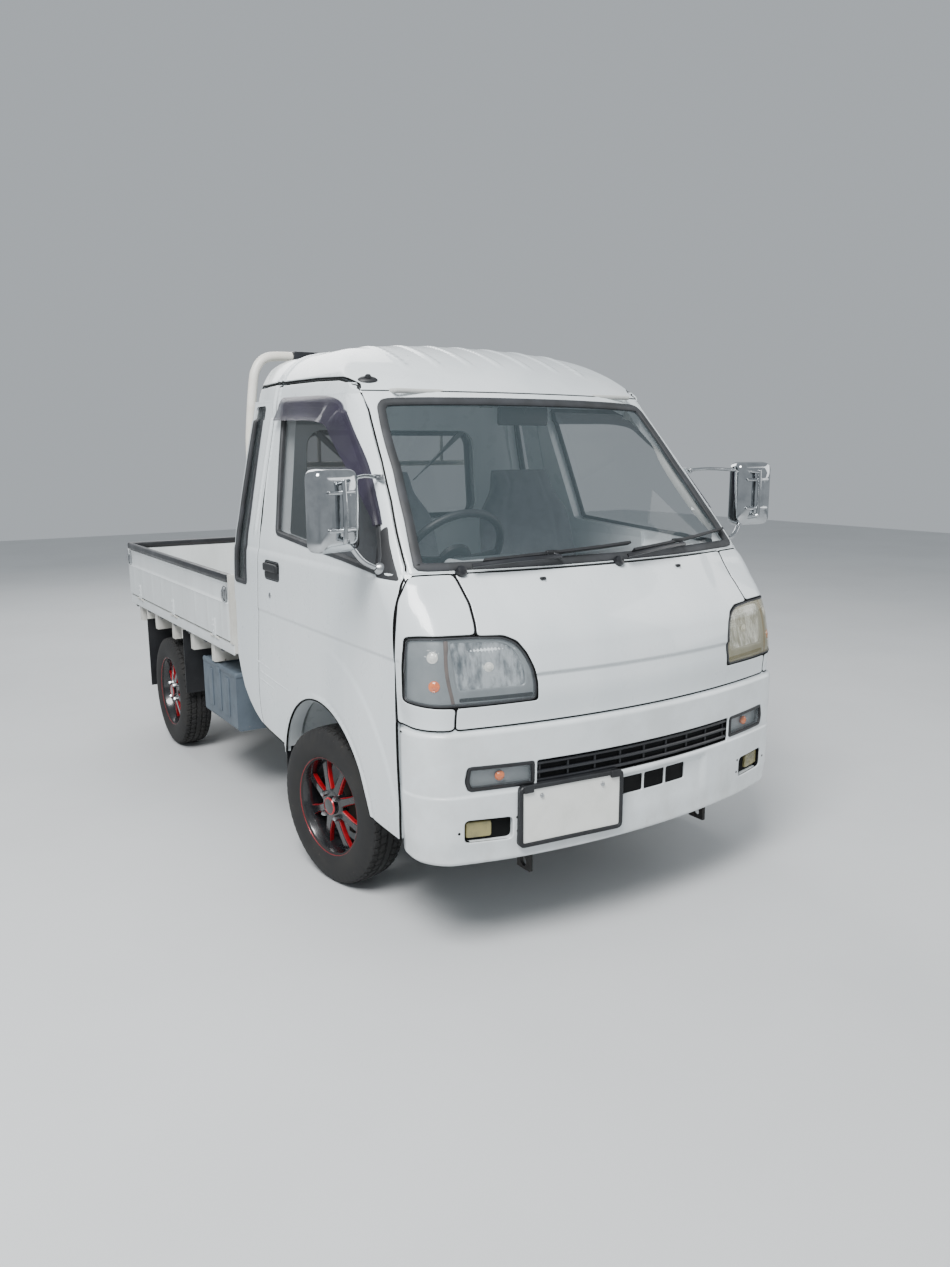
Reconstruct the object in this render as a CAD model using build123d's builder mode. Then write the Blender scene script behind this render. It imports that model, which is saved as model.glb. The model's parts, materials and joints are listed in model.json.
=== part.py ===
from build123d import *
from math import atan2, cos, degrees, radians, sin
import os

# Small flat-bed truck with a high roof, millimetres, +Z up, ground at Z = 0.
# The nose points to -Y, the driver's side is -X, the origin is under the middle of the truck.

# Overall sizes
overall_length = 3395.0
overall_width = 1475.0
guard_height = 1875.0
roof_height = 1862.0
wheelbase = 1900.0
front_overhang = 845.0
front_tread = 1305.0
rear_tread = 1300.0

# Wheels
tyre_radius = 275.0
tyre_width = 145.0
tyre_bead_radius = 165.0
tyre_shoulder = 26.0
rim_width = 118.0
rim_wall = 7.0
rim_flange = 8.0
spoke_count = 8
spoke_thickness = 16.0
hub_radius = 62.0
stud_circle = 100.0
stud_count = 4
axle_stub_radius = 17.0
bore_clearance = 0.06
seat_gap = 0.3

# Steering, turned to the left as the truck is parked
steer_angle = 10.0
kingpin_offset = 52.0
kingpin_lean = 11.0
strut_radius = 19.0
spring_seat_radius = 34.0

# Cab
cab_half_width = 730.0
cab_length = 1660.0
bow_radius = 2442.0
nose_bottom = 335.0
nose_top = 708.0
cowl_height = 1130.0
cowl_setback = 197.0
screen_top_height = 1655.0
screen_top_setback = 637.0
crown_setback = 1290.0
corner_round = 78.0
shoulder_height = 1130.0
rear_round = 55.0
roof_turn_half = 430.0
roof_turn_drop = 30.0
roof_bulge_half = 545.0
roof_bulge_drop = 80.0
door_head_height = 1700.0
door_head_half_width = 602.0
wall = 50.0
skin = 14.0
bumper_proud = 7.5
panel_gap = 4.0
door_gap = 5.5
door_inner = 546.0
door_low_inner = 652.0
floor_height = 520.0
floor_thickness = 30.0
seat_base_height = 690.0
glass_thickness = 5.0
glass_inset = 8.0

# Plan sections of the cab: level, half width, nose setback, corner radius, lean of the nose face
cab_sections = (
    (nose_bottom - 60, cab_half_width - 14, 24.0, 120.0, 1.0),
    (nose_top, cab_half_width, 19.0, 125.0, 1.0),
    (925.0, cab_half_width - 2, 52.0, 125.0, 1.08),
    (cowl_height, cab_half_width - 12, cowl_setback, 105.0, 1.25),
    (screen_top_height, 612.0, screen_top_setback, 80.0, 1.3),
)

# Front wheel arch
arch_radius = 343.0
arch_setback = -22.0
arch_height = 305.0
well_radius = 362.0
well_inner = 428.0

# Bed
bed_gap = 15.0
bed_floor_top = 700.0
bed_floor_thickness = 14.0
gate_height = 285.0
gate_thickness = 28.0
gate_clearance = 9.5
gate_foot = 4.5
sill_height = 40.0
rail_pad_height = 34.0
rail_pad_width = 36.0

# Frame rails
rail_half_spacing = 368.0
rail_width = 52.0
rail_depth = 90.0
rail_low = 345.0
rail_high = 478.0
tow_eye_thickness = 12.0
tow_eye_radius = 15.0
tow_eye_z = 246.0
tow_eye_low = 222.0
hanger_width = 80.0
hanger_top = 385.0
plate_bolt_spacing = 210.0
plate_bolt_radius = 3.5

# Places worked out from the sizes above
front_y = -overall_length / 2
front_axle_y = front_y + front_overhang
rear_axle_y = front_axle_y + wheelbase
bow_axis_y = front_y + bumper_proud + bow_radius
cab_rear_y = front_y + cab_length
bed_front_y = cab_rear_y + bed_gap
bed_rear_y = overall_length / 2
half_width = overall_width / 2
big = 4000.0


def fa(distance):
    """Y of a place measured back from the front axle"""
    return front_axle_y + distance


def region(x0, x1, y0, y1, z0, z1):
    """A plain box between two corners"""
    with BuildPart() as box:
        with BuildSketch(Plane.XY.offset(z0)):
            with Locations(((x0 + x1) / 2, (y0 + y1) / 2)):
                Rectangle(x1 - x0, y1 - y0)
        extrude(amount=z1 - z0)
    return box.part


def plan_outline(level, half, nose, corner, rear, rear_corner):
    """Plan section: straight sides, a nose bowed about the bow axis, rounded corners"""
    nose_radius = bow_axis_y - nose
    corner_y = bow_axis_y - (nose_radius**2 - half**2) ** 0.5
    with BuildSketch(Plane.XY.offset(level)) as outline:
        with BuildLine():
            ThreePointArc((-half, corner_y), (0, nose), (half, corner_y))
            Line((half, corner_y), (half, rear))
            Line((half, rear), (-half, rear))
            Line((-half, rear), (-half, corner_y))
        make_face()
        fillet(outline.vertices().group_by(Axis.Y)[0], radius=corner)
        fillet(outline.vertices().group_by(Axis.Y)[-1], radius=rear_corner)
    return outline.sketch


def cab_form(inset):
    """The closed cab volume with every face moved inwards by inset"""
    rear = cab_rear_y - inset
    sections = []
    for level, half, nose_setback, corner, lean in cab_sections:
        nose = front_y + nose_setback + inset * lean
        outline = plan_outline(
            level, half - inset, nose, max(corner - inset, 14), rear, max(rear_round - inset, 10)
        )
        sections.append(outline)
    top_level, top_half, top_setback, top_corner, top_lean = cab_sections[-1]
    screen_top_y = front_y + top_setback + inset * top_lean
    crown_y = front_y + crown_setback
    roof = roof_height - inset
    head = (door_head_half_width - inset, door_head_height)
    turn = (roof_turn_half - 0.4 * inset, roof - roof_turn_drop)
    bulge = (roof_bulge_half - 0.8 * inset, roof - roof_bulge_drop)
    with BuildPart() as form:
        for outline in sections:
            add(outline)
        loft(ruled=True)
    with BuildPart() as top:
        add(sections[-1])
        extrude(amount=roof_height - top_level + 50)
        with BuildSketch(Plane.YZ):
            with BuildLine():
                ThreePointArc(
                    (screen_top_y, top_level),
                    (screen_top_y + 0.35 * (crown_y - screen_top_y), top_level + 0.64 * (roof - top_level)),
                    (crown_y, roof),
                )
                Line((crown_y, roof), (bow_axis_y, roof - 12))
                Line((bow_axis_y, roof - 12), (bow_axis_y, top_level))
                Line((bow_axis_y, top_level), (screen_top_y, top_level))
            make_face()
        revolve(axis=Axis((0, bow_axis_y, 0), (0, 0, 1)), revolution_arc=360, mode=Mode.INTERSECT)
        with BuildSketch(Plane.XZ):
            with BuildLine():
                for side in (1, -1):
                    Line((0, top_level), (side * (top_half - inset + 1), top_level))
                    Line((side * (top_half - inset + 1), top_level), (side * head[0], head[1]))
                    ThreePointArc(
                        (side * head[0], head[1]), (side * bulge[0], bulge[1]), (side * turn[0], turn[1])
                    )
                    ThreePointArc(
                        (side * turn[0], turn[1]),
                        (side * turn[0] / 2, roof - roof_turn_drop / 4 + 2),
                        (0, roof + 4),
                    )
            make_face()
        extrude(amount=big, both=True, mode=Mode.INTERSECT)
    with BuildPart() as whole:
        add(form.part)
        add(top.part)
    return whole.part


outer_form = cab_form(0)
skin_form = cab_form(skin)
inner_form = cab_form(wall)
bumper_form = cab_form(-bumper_proud)
glass_outer_form = cab_form(glass_inset)
glass_inner_form = cab_form(glass_inset + glass_thickness)
seal_form = cab_form(glass_inset + glass_thickness + 6)

# Outlines in the side view, Y back from the front axle and height
door_outline = [
    (fa(-562), 346),
    (fa(-566), 900),
    (fa(-552), 1112),
    (fa(-600), 1150),
    (fa(-330), 1500),
    (fa(-100), 1690),
    (fa(530), 1714),
    (fa(506), 1150),
    (fa(514), 900),
    (fa(558), 560),
    (fa(540), 434),
    (fa(300), 403),
    (fa(-350), 352),
]
door_window_outline = [
    (fa(352), 1185),
    (fa(470), 1652),
    (fa(20), 1628),
    (fa(-60), 1597),
    (fa(-262), 1420),
    (fa(-402), 1256),
    (fa(-458), 1160),
    (fa(-453), 1124),
    (fa(-227), 1144),
]
quarter_outline = [
    (fa(624), 974),
    (fa(762), 976),
    (fa(758), 1500),
    (fa(744), 1645),
    (fa(640), 1645),
]
# Outlines in the front view
screen_outline = [(-660, 1136), (660, 1136), (545, 1648), (-545, 1648)]
pillar_outline = [(-684, 1100), (684, 1100), (582, 1600), (578, 1800), (-578, 1800), (-582, 1600)]
rear_window_outline = [(-420, 1180), (420, 1180), (400, 1560), (-400, 1560)]
lamp_outline = [
    (388, 775),
    (672, 777),
    (722, 786),
    (800, 800),
    (800, 968),
    (648, 970),
    (548, 964),
    (465, 946),
    (412, 902),
    (384, 842),
]
lamp_rear = fa(-604)


def side_opening(points, radius, grow, inner):
    """A side outline grown by some millimetres, cut from inner outwards on both sides"""
    slabs = []
    for plane_x in (-half_width - 80, inner):
        with BuildPart() as slab:
            with BuildSketch(Plane.YZ.offset(plane_x)):
                with BuildLine():
                    FilletPolyline(*points, radius=radius, close=True)
                make_face()
                if grow:
                    offset(amount=grow, kind=Kind.INTERSECTION, mode=Mode.REPLACE)
            extrude(amount=half_width + 80 - inner)
        slabs.append(slab.part)
    return slabs


def front_opening(points, radius, grow, near, far):
    """A front outline grown by some millimetres, carried back from near to far"""
    with BuildPart() as slab:
        with BuildSketch(Plane.XZ.offset(-far)):
            with BuildLine():
                FilletPolyline(*points, radius=radius, close=True)
            make_face()
            if grow:
                offset(amount=grow, kind=Kind.INTERSECTION, mode=Mode.REPLACE)
        extrude(amount=far - near)
    return slab.part


def mirrored_outline(points):
    """The same front outline on the other side of the truck"""
    return [(-x, z) for x, z in points]


def wheel_space(radius, inner):
    """Cylinders round the front wheels, from inner outwards"""
    with BuildPart() as space:
        for side in (-1, 1):
            with Locations((side * (inner + 240), fa(arch_setback), arch_height)):
                Cylinder(radius, 480, rotation=(0, 90, 0))
    return space.part


nose_zone = region(-big, big, front_y - 90, fa(-562), nose_bottom - 90, cowl_height - 2)
nose_skin = nose_zone - skin_form

# What stays with the body at the door opening: the screen pillars, and the floor's ends
pillar_zone = front_opening(pillar_outline, 20, 0, fa(-640), fa(-60))
door_pillar_zone = front_opening(pillar_outline, 20, door_gap, fa(-640), fa(-60))
low_zone = region(-big, big, -big, big, 0, seat_base_height + 10)

# Lower body, hollow above a stepped floor
with BuildPart() as cab_space:
    with BuildSketch(Plane.YZ):
        with BuildLine():
            Polyline(
                (fa(-950), floor_height),
                (fa(-440), floor_height),
                (fa(-404), seat_base_height),
                (fa(950), seat_base_height),
                (fa(950), guard_height),
                (fa(-950), guard_height),
                close=True,
            )
        make_face()
    extrude(amount=half_width, both=True)
    add(inner_form, mode=Mode.INTERSECT)

with BuildPart() as under_space:
    # Below the foot floor, between the wheel wells and behind them
    add(region(-658, 658, fa(-744), fa(-412), 200, floor_height - floor_thickness))
    add(region(-412, 412, fa(-412), fa(350), 200, seat_base_height - floor_thickness))
    add(region(-658, 658, fa(345), fa(765), 200, seat_base_height - floor_thickness))
    # Lower edge of the sides, rising behind the wheels
    with BuildSketch(Plane.YZ):
        with BuildLine():
            Polyline((fa(480), 425), (fa(300), 405), (fa(-350), 352), (fa(-950), 345), (fa(-950), 150))
            Line((fa(-950), 150), (fa(950), 150))
            Line((fa(950), 150), (fa(950), 668))
            Line((fa(950), 668), (fa(768), 655))
            ThreePointArc((fa(768), 655), (fa(672), 502), (fa(480), 425))
        make_face()
    extrude(amount=half_width + 20, both=True)

with BuildPart() as cab_shell:
    add(outer_form)
    add(cab_space.part, mode=Mode.SUBTRACT)
    add(under_space.part, mode=Mode.SUBTRACT)
    add(nose_skin, mode=Mode.SUBTRACT)
    add(wheel_space(well_radius, well_inner), mode=Mode.SUBTRACT)
    for slab in side_opening(door_outline, 12, door_gap, door_inner - door_gap):
        add(slab - low_zone - pillar_zone, mode=Mode.SUBTRACT)
    for slab in side_opening(door_outline, 12, door_gap, door_low_inner):
        add(slab - pillar_zone, mode=Mode.SUBTRACT)
    for slab in side_opening(quarter_outline, 18, 0, 500):
        add(slab, mode=Mode.SUBTRACT)
    add(front_opening(screen_outline, 55, 0, fa(-900), fa(-50)), mode=Mode.SUBTRACT)
    add(
        front_opening(rear_window_outline, 70, 0, cab_rear_y - 90, cab_rear_y + 40),
        mode=Mode.SUBTRACT,
    )

roof_seam = screen_top_height + 8
with BuildPart() as cab_body:
    add(cab_shell.part)
    split(bisect_by=Plane.XY.offset(roof_seam), keep=Keep.BOTTOM)
with BuildPart() as cab_roof:
    add(cab_shell.part)
    split(bisect_by=Plane.XY.offset(roof_seam), keep=Keep.TOP)

# Nose panels
lamp_slabs = [
    front_opening(lamp_outline, 26, panel_gap / 2, front_y - 60, lamp_rear + 2),
    front_opening(mirrored_outline(lamp_outline), 26, panel_gap / 2, front_y - 60, lamp_rear + 2),
]
panel_top = cowl_height - 4
panel_low = nose_top + 1
centre_outline = [
    (-628, panel_low),
    (628, panel_low),
    (628, 800),
    (552, 960),
    (534, 1050),
    (544, panel_top),
    (-544, panel_top),
    (-534, 1050),
    (-552, 960),
    (-628, 800),
]
corner_outline = [
    (632, panel_low),
    (800, panel_low),
    (800, panel_top),
    (548, panel_top),
    (538, 1050),
    (556, 960),
    (632, 800),
]
panel_stock = outer_form - skin_form
with BuildPart() as front_panel:
    add(panel_stock)
    add(front_opening(centre_outline, 2, 0, front_y - 60, fa(-567)), mode=Mode.INTERSECT)
    for slab in lamp_slabs:
        add(slab, mode=Mode.SUBTRACT)
with BuildPart() as corner_panels:
    add(panel_stock)
    corner_right = front_opening(mirrored_outline(corner_outline), 2, 0, front_y - 60, fa(-567))
    add(
        corner_right + front_opening(corner_outline, 2, 0, front_y - 60, fa(-567)),
        mode=Mode.INTERSECT,
    )
    for slab in lamp_slabs:
        add(slab, mode=Mode.SUBTRACT)


def lamp(outline, stock, radius, near, far, shrink):
    """A lamp that fills an outline in the nose, between two surfaces of the form"""
    with BuildPart() as body:
        add(stock)
        add(front_opening(outline, radius, -shrink, near, far), mode=Mode.INTERSECT)
    return body.part


headlamp_left = lamp(lamp_outline, panel_stock, 24, front_y - 60, lamp_rear, 0)
headlamp_right = lamp(mirrored_outline(lamp_outline), panel_stock, 24, front_y - 60, lamp_rear, 0)

# Bumper with its openings
bumper_stock = bumper_form - skin_form
grille_outline = [(-395, 520), (395, 520), (395, 598), (-395, 598)]
turn_outline = [(399, 528), (604, 530), (614, 560), (606, 604), (399, 598)]
fog_outline = [(472, 372), (616, 378), (616, 446), (472, 440)]
fog_lamp_outline = [(480, 380), (566, 382), (566, 438), (480, 434)]
bumper_zone = region(-big, big, front_y - 60, fa(-567), 302, nose_top - 3)
with BuildPart() as front_bumper:
    add(bumper_stock)
    add(bumper_zone, mode=Mode.INTERSECT)
    for outline, corner in ((grille_outline, 5), (turn_outline, 10), (fog_outline, 14)):
        add(front_opening(outline, corner, 0, front_y - 60, fa(-560)), mode=Mode.SUBTRACT)
    for outline, corner in ((turn_outline, 10), (fog_outline, 14)):
        add(
            front_opening(mirrored_outline(outline), corner, 0, front_y - 60, fa(-560)),
            mode=Mode.SUBTRACT,
        )
    for column in range(4):
        left = -184 + 93 * column
        slot = [(left, 436), (left + 86, 436), (left + 86, 492), (left, 492)]
        add(front_opening(slot, 6, 0, front_y - 60, fa(-560)), mode=Mode.SUBTRACT)
with BuildPart() as grille:
    add(panel_stock)
    add(front_opening(grille_outline, 4, -1, front_y - 60, fa(-560)), mode=Mode.INTERSECT)
    for row in (0, 1, 2):
        low = 526 + 24 * row
        for column in range(4):
            left = -386 + 194 * column
            slot = [(left, low), (left + 188, low), (left + 188, low + 18), (left, low + 18)]
            add(front_opening(slot, 3, 0, front_y - 60, fa(-560)), mode=Mode.SUBTRACT)
with BuildPart() as bumper_lamps:
    for side_of in (list, mirrored_outline):
        add(lamp(side_of(turn_outline), bumper_form - skin_form, 9, front_y - 60, fa(-560), 1.5))
        add(lamp(side_of(fog_lamp_outline), panel_stock, 8, front_y - 60, fa(-560), 0))

# Number plate with its thick frame, square to the bowed bumper
plate_centre_x = -285
plate_turn = degrees(atan2(-plate_centre_x, bow_radius))
plate_y = bow_axis_y - (bow_radius**2 - plate_centre_x**2) ** 0.5
with BuildPart() as plate_build:
    with BuildSketch(Plane.XZ):
        RectangleRounded(336, 166, 8)
        RectangleRounded(316, 146, 5, mode=Mode.SUBTRACT)
    extrude(amount=10)
    with BuildSketch(Plane.XZ):
        RectangleRounded(320, 150, 5)
    extrude(amount=4)
    with BuildSketch(Plane.XZ.offset(-14)):
        with GridLocations(210, 60, 2, 2):
            Circle(9)
    extrude(amount=14.5)
front_plate = plate_build.part.rotate(Axis.Z, -plate_turn)
front_plate = front_plate.moved(Location((plate_centre_x, front_y + 18.9, 436)))
front_plate = front_plate - bumper_form

# Glass
with BuildPart() as windscreen:
    add(glass_outer_form - glass_inner_form)
    add(front_opening(screen_outline, 55, -22, fa(-900), fa(-50)), mode=Mode.INTERSECT)
with BuildPart() as screen_seal:
    add(outer_form - seal_form)
    add(front_opening(screen_outline, 55, -seat_gap, fa(-900), fa(-50)), mode=Mode.INTERSECT)
    add(front_opening(screen_outline, 55, -22 + seat_gap, fa(-900), fa(-50)), mode=Mode.SUBTRACT)
with BuildPart() as rear_glass:
    add(front_opening(rear_window_outline, 70, -seat_gap, cab_rear_y - 34, cab_rear_y - 28))
    quarter_stock = glass_outer_form - glass_inner_form
    for slab in side_opening(quarter_outline, 18, -seat_gap, 500):
        add(quarter_stock & slab)

# Doors, each as thick as the cab wall
door_stock = outer_form - inner_form
arch_cut = wheel_space(arch_radius, 600)
window_slab = side_opening(door_window_outline, 16, 0, 480)[1]
pane_stock = glass_outer_form - glass_inner_form
with BuildPart() as door_build:
    add(door_stock)
    add(side_opening(door_outline, 12, 0, door_inner)[1], mode=Mode.INTERSECT)
    add(door_pillar_zone, mode=Mode.SUBTRACT)
    add(window_slab, mode=Mode.SUBTRACT)
    add(arch_cut, mode=Mode.SUBTRACT)
with BuildPart() as pane_build:
    add(pane_stock)
    add(window_slab, mode=Mode.INTERSECT)
door_left = door_build.part
door_right = mirror(door_left, about=Plane.YZ)
door_glass_left = pane_build.part
door_glass_right = mirror(door_glass_left, about=Plane.YZ)

# Door mirror on two stays
mirror_centre = (-848, fa(-452), 1312)
with BuildPart() as mirror_build:
    with BuildSketch(Plane.XZ.offset(33 - mirror_centre[1])):
        with Locations((mirror_centre[0], mirror_centre[2])):
            RectangleRounded(150, 228, 26)
    extrude(amount=-66)
    fillet(mirror_build.edges().group_by(Axis.Y)[0], radius=20)
    for start, end, radius in (
        ((-700, fa(-458), 1142), (-800, fa(-452), 1230), 11),
        ((-590, fa(-292), 1396), (-800, fa(-430), 1392), 8),
    ):
        span = Vector(*end) - Vector(*start)
        with BuildSketch(Plane(origin=start, z_dir=span)):
            Circle(radius)
        extrude(amount=span.length)
mirror_right = mirror_build.part - outer_form
mirror_left = mirror(mirror_right, about=Plane.YZ)

def on_screen(x, height, lift):
    """A point in front of the bowed screen"""
    rise = (height - cowl_height) / (screen_top_height - cowl_height)
    setback = cowl_setback + rise * (screen_top_setback - cowl_setback)
    radius = bow_axis_y - front_y - setback
    return (x, bow_axis_y - (radius**2 - x**2) ** 0.5 - lift, height)


# Wipers along the foot of the screen
with BuildPart() as wipers:
    for pivot_x, tip_x in ((-505, 90), (30, 600)):
        pivot = on_screen(pivot_x, 1112, 4)
        elbow = on_screen(pivot_x + 30, 1152, 22)
        tip = on_screen(tip_x, 1166, 30)
        for start, end, radius in ((pivot, elbow, 9), (elbow, tip, 6)):
            span = Vector(*end) - Vector(*start)
            with BuildSketch(Plane(origin=start, z_dir=span)):
                Circle(radius)
            extrude(amount=span.length)
wiper_set = wipers.part - outer_form

# Seats, plain soft solids
seat_half_spacing = 330
with BuildPart() as seats:
    for side in (-1, 1):
        with BuildSketch(Plane.YZ.offset(side * seat_half_spacing - 235)):
            with BuildLine():
                FilletPolyline(
                    (fa(-330), seat_base_height + seat_gap),
                    (fa(250), seat_base_height + seat_gap),
                    (fa(385), 1420),
                    (fa(300), 1440),
                    (fa(160), 850),
                    (fa(130), 805),
                    (fa(-335), 825),
                    radius=24,
                    close=True,
                )
            make_face()
        extrude(amount=470)

wheel_plane = Plane(origin=(-345, fa(-330), 1040), z_dir=(0, 0.62, 0.785))
rim_plane = Plane(origin=wheel_plane.origin, x_dir=wheel_plane.y_dir, z_dir=wheel_plane.x_dir)
# The dash ends short of the doors' inner corners as they swing
dash_half = 541.0
with BuildPart() as dashboard:
    with BuildSketch(Plane.YZ.offset(-dash_half)):
        with BuildLine():
            FilletPolyline(
                (fa(-950), 800),
                (fa(-560), 800),
                (fa(-470), 900),
                (fa(-455), 1050),
                (fa(-510), 1100),
                (fa(-950), 1118),
                radius=20,
                close=True,
            )
        make_face()
    extrude(amount=2 * dash_half)
    add(inner_form, mode=Mode.INTERSECT)
    # Steering wheel on its column, on the driver's side
    with BuildSketch(rim_plane):
        with Locations((178, 0)):
            RegularPolygon(13, 6)
    revolve(axis=Axis(wheel_plane.origin, wheel_plane.z_dir), revolution_arc=360)
    with BuildSketch(wheel_plane.offset(-30)):
        Circle(52)
    extrude(amount=26)
    with BuildSketch(wheel_plane.offset(-22)):
        for turn in (0, 180, 270):
            with Locations(Location((0, 0), turn)):
                with Locations((100, 0)):
                    Rectangle(150, 26)
    extrude(amount=16)
    with BuildSketch(wheel_plane.offset(-28)):
        Circle(26)
    extrude(amount=-210)

# Wheels, made at the origin with the outer face towards -X
rim_seat_radius = tyre_bead_radius - seat_gap
with BuildPart() as tyre:
    with BuildSketch(Plane.XY):
        with BuildLine():
            Polyline(
                (-rim_width / 2, tyre_bead_radius),
                (-tyre_width / 2 + 6, tyre_bead_radius + 12),
                (-tyre_width / 2, tyre_bead_radius + 45),
                (-tyre_width / 2 + 10, tyre_radius - tyre_shoulder / 2),
                (-tyre_width / 2 + tyre_shoulder + 4, tyre_radius),
                (tyre_width / 2 - tyre_shoulder - 4, tyre_radius),
                (tyre_width / 2 - 10, tyre_radius - tyre_shoulder / 2),
                (tyre_width / 2, tyre_bead_radius + 45),
                (tyre_width / 2 - 6, tyre_bead_radius + 12),
                (rim_width / 2, tyre_bead_radius),
                close=True,
            )
        make_face()
    revolve(axis=Axis.X, revolution_arc=360)
with BuildPart() as rim:
    with BuildSketch(Plane.XY):
        with BuildLine():
            Polyline(
                (-rim_width / 2 - 4, rim_seat_radius + rim_flange - 12),
                (-rim_width / 2 + 10, rim_seat_radius - 1),
                (-rim_width / 2 + 30, rim_seat_radius),
                (rim_width / 2 - 30, rim_seat_radius),
                (rim_width / 2 - 10, rim_seat_radius - 1),
                (rim_width / 2 + 4, rim_seat_radius + rim_flange - 12),
                (rim_width / 2 + 4, rim_seat_radius - rim_wall - 4),
                (-rim_width / 2 - 4, rim_seat_radius - rim_wall - 4),
                close=True,
            )
        make_face()
    revolve(axis=Axis.X, revolution_arc=360)
    # Hub and tapered spokes
    hub_face = -rim_width / 2 + 18
    with BuildSketch(Plane.YZ.offset(hub_face)):
        Circle(hub_radius)
    extrude(amount=34)
    with BuildSketch(Plane.YZ.offset(hub_face - 6)):
        Circle(30)
    extrude(amount=8)
    with BuildSketch(Plane.YZ.offset(hub_face)):
        with PolarLocations(0, spoke_count):
            with BuildLine():
                Polyline((40, -17), (rim_seat_radius - 6, -10), (rim_seat_radius - 6, 10), (40, 17), close=True)
            make_face()
    extrude(amount=spoke_thickness)
    # Lug holes and the bore for the stub
    with BuildSketch(Plane.YZ.offset(hub_face - 8)):
        with PolarLocations(stud_circle / 2, stud_count, start_angle=45):
            Circle(7)
    extrude(amount=14, mode=Mode.SUBTRACT)
    with BuildSketch(Plane.YZ.offset(hub_face + 8)):
        Circle(axle_stub_radius + bore_clearance)
    extrude(amount=60, mode=Mode.SUBTRACT)

# Right knuckle at the origin of its wheel: outer face towards -X, upright strut inboard
kingpin_x = kingpin_offset + 20
knuckle_axis = Axis((kingpin_x, 0, 0), (sin(radians(kingpin_lean)), 0, cos(radians(kingpin_lean))))
with BuildPart() as knuckle:
    with BuildSketch(Plane.YZ.offset(hub_face + 9)):
        Circle(axle_stub_radius)
    extrude(amount=kingpin_x - hub_face - 9)
    with BuildSketch(Plane.YZ.offset(30)):
        Circle(93)
    extrude(amount=8)
    with BuildSketch(Plane.YZ.offset(38)):
        Circle(40)
    extrude(amount=kingpin_x - 38)
    foot = Plane(origin=(kingpin_x, 0, 0), z_dir=knuckle_axis.direction)
    with BuildSketch(foot.offset(-100)):
        Circle(22)
    extrude(amount=130)
    with BuildSketch(foot.offset(-100)):
        Circle(strut_radius)
    extrude(amount=330)


def place_wheel(shape, x, y, steered, side):
    """A wheel piece set on its axle, on the right (-1) or the left (1), steered if it is in front"""
    piece = shape
    if steered:
        turn = steer_angle if side < 0 else -steer_angle
        piece = piece.rotate(knuckle_axis, turn)
    piece = piece.moved(Location((-x, y, tyre_radius)))
    if side > 0:
        piece = mirror(piece, about=Plane.YZ)
    return piece


wheel_nodes = {}
for name, tread, axle_y, steered, side in (
    ("front_right", front_tread, front_axle_y, True, -1),
    ("front_left", front_tread, front_axle_y, True, 1),
    ("rear_right", rear_tread, rear_axle_y, False, -1),
    ("rear_left", rear_tread, rear_axle_y, False, 1),
):
    wheel_nodes["tyre_" + name] = place_wheel(tyre.part, tread / 2, axle_y, steered, side)
    wheel_nodes["rim_" + name] = place_wheel(rim.part, tread / 2, axle_y, steered, side)
for name, side in (("knuckle_right", -1), ("knuckle_left", 1)):
    wheel_nodes[name] = place_wheel(knuckle.part, front_tread / 2, front_axle_y, True, side)

# Front suspension: cross beam, lower arms, strut tops
kingpin_y = front_axle_y
kingpin_ground_x = front_tread / 2 - kingpin_x
strut_top_z = tyre_radius + 232 * cos(radians(kingpin_lean))
strut_top_x = kingpin_ground_x - 232 * sin(radians(kingpin_lean))
ball_x = kingpin_ground_x + 102 * sin(radians(kingpin_lean))
ball_z = tyre_radius - 102 * cos(radians(kingpin_lean))
beam_top = ball_z + 28
arm_top = tyre_radius - 100 * cos(radians(kingpin_lean)) - 22 * sin(radians(kingpin_lean)) - seat_gap
well_top = arch_height + (well_radius**2 - arch_setback**2) ** 0.5
rod_length = (well_top - strut_top_z - 2 * seat_gap) / cos(radians(kingpin_lean)) - 2.6
with BuildPart() as front_suspension:
    with BuildSketch(Plane.XY.offset(ball_z - 24)):
        with Locations((0, kingpin_y + 20)):
            RectangleRounded(620, 110, 20)
    extrude(amount=52)
    for side in (-1, 1):
        with BuildSketch(Plane.XY.offset(arm_top - 20)):
            with BuildLine():
                Polyline(
                    (side * 290, kingpin_y - 20),
                    (side * (ball_x + 16), kingpin_y - 16),
                    (side * (ball_x + 16), kingpin_y + 16),
                    (side * 290, kingpin_y + 70),
                    close=True,
                )
            make_face()
        extrude(amount=20)
        strut_line = Plane(
            origin=(side * strut_top_x, kingpin_y, strut_top_z + seat_gap),
            z_dir=(-side * sin(radians(kingpin_lean)), 0, cos(radians(kingpin_lean))),
        )
        with BuildSketch(strut_line):
            Circle(spring_seat_radius)
        extrude(amount=10)
        with BuildSketch(strut_line):
            Circle(12)
        extrude(amount=rod_length)
        with BuildSketch(strut_line.offset(rod_length - 36)):
            Circle(spring_seat_radius)
        extrude(amount=10)

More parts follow.
